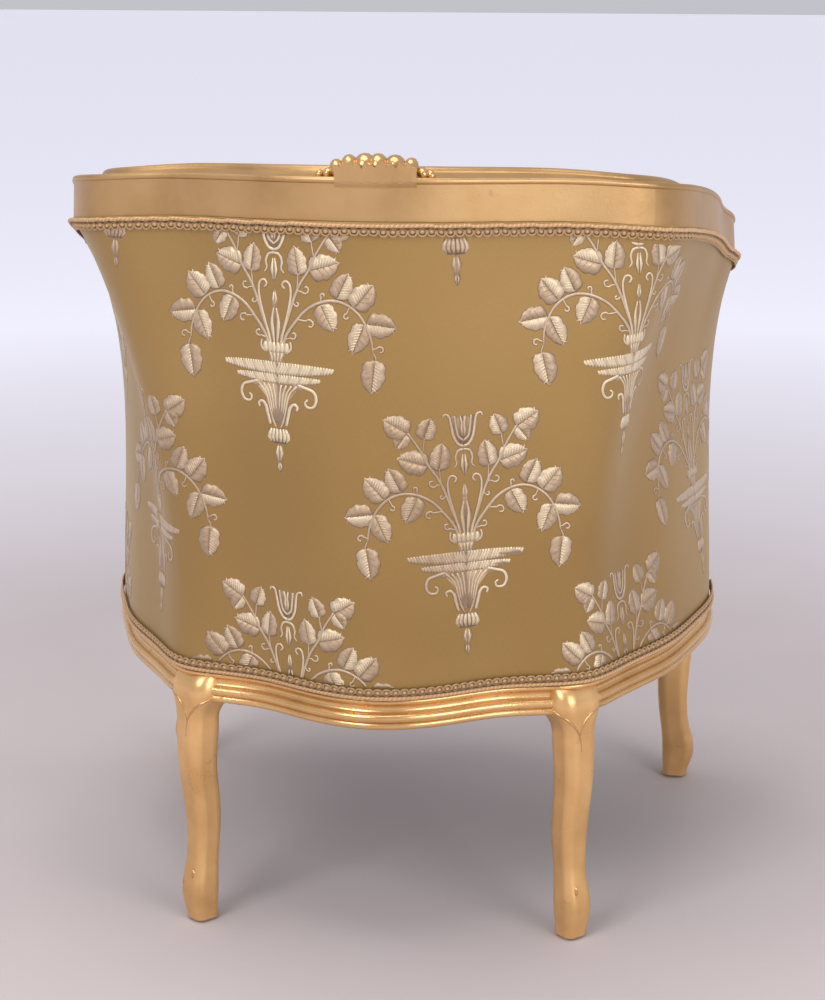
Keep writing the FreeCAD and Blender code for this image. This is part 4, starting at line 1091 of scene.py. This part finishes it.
CUSHION_SKIN = 0.0018
CUSHION_GAP = 0.0016
CUSHION_EDGE = 0.012
CUSHION_MOTIF_Y = -0.10


def keep_outside(obj, tree, gap):
    """Brings cloth that sank into its filling back out to a gap off it."""
    mesh = obj.data
    points = positions(mesh)
    for i, point in enumerate(points):
        spot, normal = tree.find_nearest(Vector(point))[:2]
        if (Vector(point) - spot).dot(normal) < gap:
            points[i] = spot + normal * gap
    set_positions(mesh, points)


def make_cushion():
    """Loose seat cushion, crowned, drawn in at its two piped seams."""
    obj = even_copy("seat_cushion_cover", "cushion_core")
    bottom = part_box("cushion_core")[0].z
    mesh = obj.data
    set_positions(mesh, positions(mesh) + normals_of(mesh) * CUSHION_SKIN)

    def hold(points):
        return smooth_step((points[:, 2] - bottom) / 0.02)

    swell(obj, 0.010, 0.001, pressure=3.0, hold=hold)
    soften(obj)
    keep_outside(obj, tree_of("cushion_core"), CUSHION_GAP)
    return dress(obj, "seat_cushion", "cushion_cover")


cushion = make_cushion()


def piping_path(node, count=240):
    """Middle line of a piping, found from the middle of the seat."""
    tree = tree_of(node)
    low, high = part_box(node)
    centre = (low + high) / 2
    radius = (high.z - low.z) / 2
    path = []
    for i in range(count):
        turn = 2 * math.pi * i / count
        way = Vector((math.cos(turn), math.sin(turn), 0))
        hit = tree.ray_cast(centre, way, 1.0)[0]
        path.append(hit + way * radius)
    return np.array(path), radius


def make_piping(name, node):
    """Cord in a bias strip, with the slight twist of its cloth."""
    path, radius = piping_path(node)
    turns = np.arange(len(path)) * 2 * math.pi * 3 / 12
    points, faces = tube(path, radius * (1 + 0.02 * np.sin(turns)), 12, closed=True)
    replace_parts(make_object(name, points, faces, ground_plain, "seat_cushion"), node)


make_piping("cushion_cord_upper", "cushion_piping_upper")
make_piping("cushion_cord_lower", "cushion_piping_lower")


def cushion_figures():
    """The same figure on top of the cushion, cut off along its piping."""
    tree = tree_of_meshes(cushion.data)
    outline = piping_path("cushion_piping_upper")[0][::10, :2]
    centre = outline.mean(axis=0)
    bag = Bag()
    for column, row in [(c, r) for c in (-1, 0, 1) for r in (-1, 0, 1)]:
        y = CUSHION_MOTIF_Y + (row + (0.5 if column else 0.0)) * REPEAT_HEIGHT
        middle = np.array([column * COLUMN_STEP, y])
        limits = []
        for a, b in zip(outline, np.roll(outline, -1, axis=0)):
            way = np.array([b[1] - a[1], a[0] - b[0]])
            way *= (1 if way @ (a - centre) > 0 else -1) / np.linalg.norm(way)
            limits.append((tuple((a - way * CUSHION_EDGE - middle) / MM), tuple(way)))
        points, faces, tones = cut_figure(limits)
        if not len(points):
            continue
        placed = []
        for x, y, lift in points * MM:
            hit, normal = tree.ray_cast(Vector((middle[0] + x, middle[1] + y, 1.0)), Vector((0, 0, -1)))[:2]
            placed.append(hit + normal * lift)
        bag.add([tuple(v) for v in placed], faces, tones)
    points, faces, tones = bag.arrays()
    obj = make_object("cushion_figures", points, faces, threads, "seat_cushion", tones=tones)
    thicken(obj, THREAD_DEPTH)


cushion_figures()


# Carving
def blob(bag, centre, radii, turn=0.0, rows=8, sides=14):
    """Adds a rounded lump given in millimetres; turn leans it sideways, seen from behind."""
    points = []
    for i in range(rows + 1):
        a = math.pi * i / rows
        for j in range(sides):
            b = 2 * math.pi * j / sides
            x = radii[0] * math.sin(a) * math.cos(b)
            y = radii[1] * math.sin(a) * math.sin(b)
            z = radii[2] * math.cos(a)
            lean = (x * math.cos(turn) + z * math.sin(turn), y, z * math.cos(turn) - x * math.sin(turn))
            points.append([(c + v) * MM for c, v in zip(centre, lean)])
    bag.add(points, [f[::-1] for f in grid_faces(rows + 1, sides, closed=True)])


# The crest's board has a nicked top edge; points are (x, z)
BOARD_EDGE = [(-50.3, 794.2), (-41.6, 798.8), (-40.7, 794.5), (-35.9, 799.6), (-32.4, 793.9), (-27.1, 799.5),
              (-25.4, 795.1), (-21.5, 800.3), (-13.6, 794.1), (-4.8, 799.2), (-3.0, 793.1), (1.3, 799.5),
              (4.0, 796.5), (13.2, 799.4), (16.3, 794.1), (21.6, 796.2)]
BOARD_FOOT = 774.0
BOARD_DEPTH = 6.0
BOARD_ROWS = 9
# Petals and small leaves in front of it: middle, radii and lean
PETALS = [((21.5, 318, 790.0), (7.0, 11, 9.5), 0.25), ((10.5, 317, 792.5), (8.0, 12, 11.0), 0.15),
          ((-3.0, 317, 793.0), (10.5, 13, 11.8), 0.05), ((-14.5, 317, 793.0), (9.5, 13, 11.6), -0.05),
          ((-29.5, 317, 792.0), (10.5, 12, 11.6), -0.05), ((-43.0, 318, 791.0), (7.5, 11, 10.5), -0.25),
          ((30.0, 320, 787.0), (5.5, 7, 4.5), 0.9), ((37.5, 321, 785.5), (5.0, 5, 3.5), 1.2),
          ((-54.5, 319, 787.5), (6.0, 7, 5.0), -0.9), ((-62.0, 320, 786.0), (5.5, 5, 3.8), -1.2),
          ((-8.0, 306, 790.0), (11.0, 6, 8.0), 0.0)]


def make_crest():
    """Nicked board of the crest on the top rail's face, with petals in front of it."""
    tree = tree_of("top_rail")
    edge_x, edge_z = zip(*BOARD_EDGE)
    line = np.unique(np.concatenate([np.arange(edge_x[0], edge_x[-1], 0.8), edge_x]))
    points = []
    for depth in (0.0, BOARD_DEPTH):
        for x, top in zip(line, np.interp(line, edge_x, edge_z)):
            face = tree.ray_cast(Vector((x * MM, 0.6, BOARD_FOOT * MM)), Vector((0, -1, 0)))[0].y / MM
            for z in np.linspace(BOARD_FOOT, top, BOARD_ROWS):
                proud = -0.4 + 3.1 * float(smooth_step((z - BOARD_FOOT) / 9))
                points.append((x * MM, (face + proud - depth) * MM, z * MM))
    make_object("crest_board", points, slab_faces(len(line), BOARD_ROWS), gold_top, smooth=False)
    bag = Bag()
    for centre, radii, turn in PETALS:
        blob(bag, centre, radii, turn)
    points, faces, _ = bag.arrays()
    petals = make_object("crest_petals", points, faces, gold_carved)
    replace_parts(petals, "crest_carving")


def near_surface(tree, point, lift):
    """Point of a surface nearest to one given in millimetres, raised by a lift."""
    spot, normal = tree.find_nearest(Vector(point) * MM)[:2]
    return spot + normal * lift * MM


# Carved lines on the knees, on the left side; they meet in a point below the corner
KNEE_LINES = [[(158, 196, 249), (171, 195, 247), (184, 198, 240), (193, 194, 229), (197, 191, 217),
               (198, 190, 205)],
              [(222, 168, 247), (208, 182, 244), (201, 188, 236), (197, 191, 226), (197, 191, 217)]]
FRONT_KNEE_LINES = [[(256, -312, 247), (268, -314, 243), (279, -313, 233), (286, -309, 220)],
                    [(312, -262, 247), (314, -276, 243), (308, -289, 233), (300, -298, 220)]]
TOE_DROP = (198, 190, 54)
# Scroll leaf down the front knee: place and size of its beads
KNEE_LEAF = [(318, -280, 226, 4.2), (317, -283, 216, 3.8), (315, -286, 206, 3.4), (312, -289, 197, 3.0),
             (309, -292, 189, 2.6)]


def make_knees():
    """Carving of the legs: lines on all knees, a drop on the rear toes, a leaf on the front knees."""
    bag = Bag()
    for side, name in ((1, "left"), (-1, "right")):
        rear, front = "leg_rear_" + name, "leg_front_" + name
        for leg, rail, lines in ((rear, "seat_rail_back", KNEE_LINES),
                                 (front, "seat_rail_front", FRONT_KNEE_LINES)):
            tree = tree_of(leg, rail, "seat_rail_" + name)
            for line in lines:
                path = [near_surface(tree, (x * side, y, z), -0.3) for x, y, z in through(line, 18)]
                bag.add(*tube([tuple(v) for v in path], tapered(18, 0.0007, 0.0015, 0.0005), 6))
        x, y, z = TOE_DROP
        spot = near_surface(tree_of(rear), (x * side, y, z), -1.2) / MM
        blob(bag, spot, (2.4, 2.4, 6.5), 0.12 * side)
        tree = tree_of(front)
        for x, y, z, size in KNEE_LEAF:
            spot = near_surface(tree, (x * side, y, z), 0.0) / MM
            blob(bag, spot, (size, size, size * 1.2), 0.3 * side)
    points, faces, _ = bag.arrays()
    make_object("knee_carving", points, faces, gold_carved)


def make_apron():
    """Seven ribs of the shell on the front rail, fanned about a point above its foot."""
    tree = tree_of("front_rail_carving")
    low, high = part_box("front_rail_carving")
    middle_x, fan_z = (low.x + high.x) / 2 / MM, low.z / MM + 14
    bag = Bag()
    for i in range(-3, 4):
        turn = i * 0.42
        x, z = middle_x + 13 * math.sin(turn), fan_z + 12 * math.cos(turn)
        hit = tree.ray_cast(Vector((x * MM, -0.6, z * MM)), Vector((0, 1, 0)))[0]
        if hit is not None:
            blob(bag, (x, hit.y / MM + 0.6, z), (2.8, 2.4, 8.5), turn)
    points, faces, _ = bag.arrays()
    make_object("apron_shell", points, faces, gold_carved)


def make_scrolls():
    """Volutes cut into the sides of the arm scrolls."""
    bag = Bag()
    for side, name in ((1, "arm_rail_left"), (-1, "arm_rail_right")):
        tree = tree_of(name)
        low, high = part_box(name)
        y, z = low.y / MM + SCROLL_RADIUS, SCROLL_HEIGHT
        for face, start in ((1, high.x if side > 0 else low.x), (-1, low.x if side > 0 else high.x)):
            way = Vector((-face * side, 0, 0))
            path = []
            for turn in np.linspace(0, 3.6 * math.pi, 60):
                reach = SCROLL_RADIUS * (0.80 - 0.055 * turn)
                origin = Vector((start, 0, 0)) - way * 0.05
                origin.y, origin.z = (y + reach * math.cos(turn)) * MM, (z + reach * math.sin(turn)) * MM
                hit = tree.ray_cast(origin, way)[0]
                if hit is not None:
                    path.append(tuple(hit))
            if len(path) > 8:
                bag.add(*tube(path, 0.0013, 6, up=(1, 0, 0)))
    if bag.count:
        points, faces, _ = bag.arrays()
        make_object("arm_volutes", points, faces, gold_carved)


make_crest()
make_knees()
make_apron()
make_scrolls()


# Camera, light and floor
def make_camera():
    data = bpy.data.cameras.new("camera")
    data.lens = CAMERA_LENS
    data.sensor_width = 36.0
    data.clip_end = 50.0
    camera = bpy.data.objects.new("camera", data)
    camera.location = CAMERA_PLACE
    camera.rotation_euler = (math.radians(90 - CAMERA_PITCH), 0, math.radians(CAMERA_HEADING))
    bpy.context.scene.collection.objects.link(camera)
    bpy.context.scene.camera = camera
    bpy.context.scene.view_settings.view_transform = "Standard"


def make_light(name, place, target, size, power):
    data = bpy.data.lights.new(name, "AREA")
    data.shape = "RECTANGLE"
    data.size, data.size_y = size
    data.energy = power
    light = bpy.data.objects.new(name, data)
    light.location = place
    way = Vector(target) - Vector(place)
    light.rotation_euler = way.to_track_quat("-Z", "Y").to_euler()
    bpy.context.scene.collection.objects.link(light)


FLOOR_REACH = 15


def make_floor():
    """Wide pale floor that fades to near white away from the chair and glows more there: painted light."""
    mesh = bpy.data.meshes.new("floor")
    corners = [(x * FLOOR_REACH, y * FLOOR_REACH, 0) for x, y in ((-1, -1), (1, -1), (1, 1), (-1, 1))]
    mesh.from_pydata(corners, [], [(0, 1, 2, 3)])
    paint = Paint("floor_paint", Roughness=0.62, Specular_IOR_Level=0.25, Emission_Strength=1.0)
    reach = paint.node("ShaderNodeVectorMath", {0: paint.place()}, operation="LENGTH").outputs["Value"]
    # Painted light: the floor's colour whitens and its glow grows with the distance from the chair
    away = paint.map(reach, 0.0, 1.0, 1.0, 3.2)
    patches = paint.map(paint.noise(1.6, 3.0), 0.0, 1.0, 0.3, 0.7)
    tone = paint.mix(patches, (0.54, 0.475, 0.475), (0.59, 0.525, 0.525))
    paint.colour(paint.mix(away, tone, (0.84, 0.83, 0.91)))
    painted_glow = paint.mix(away, (0.0, 0.0, 0.0), (0.30, 0.295, 0.335))
    paint.tree.links.new(painted_glow, paint.shader.inputs["Emission Color"])
    mesh.materials.append(paint.material)
    floor = bpy.data.objects.new("floor", mesh)
    bpy.context.scene.collection.objects.link(floor)


def make_world():
    world = bpy.data.worlds.new("studio")
    world.use_nodes = True
    background = world.node_tree.nodes["Background"].inputs
    background["Color"].default_value = (0.93, 0.93, 1.0, 1.0)
    background["Strength"].default_value = 0.58
    bpy.context.scene.world = world


make_camera()
make_world()
make_floor()
make_light("key", (1.6, 3.0, 3.0), (0, 0.2, 0.45), (1.6, 1.6), 62)
make_light("fill", (-2.6, 2.6, 1.6), (0, 0.1, 0.4), (1.8, 1.8), 50)
make_light("overhead", (0.2, 0.4, 3.0), (0, 0.1, 0.5), (2.2, 1.6), 38)
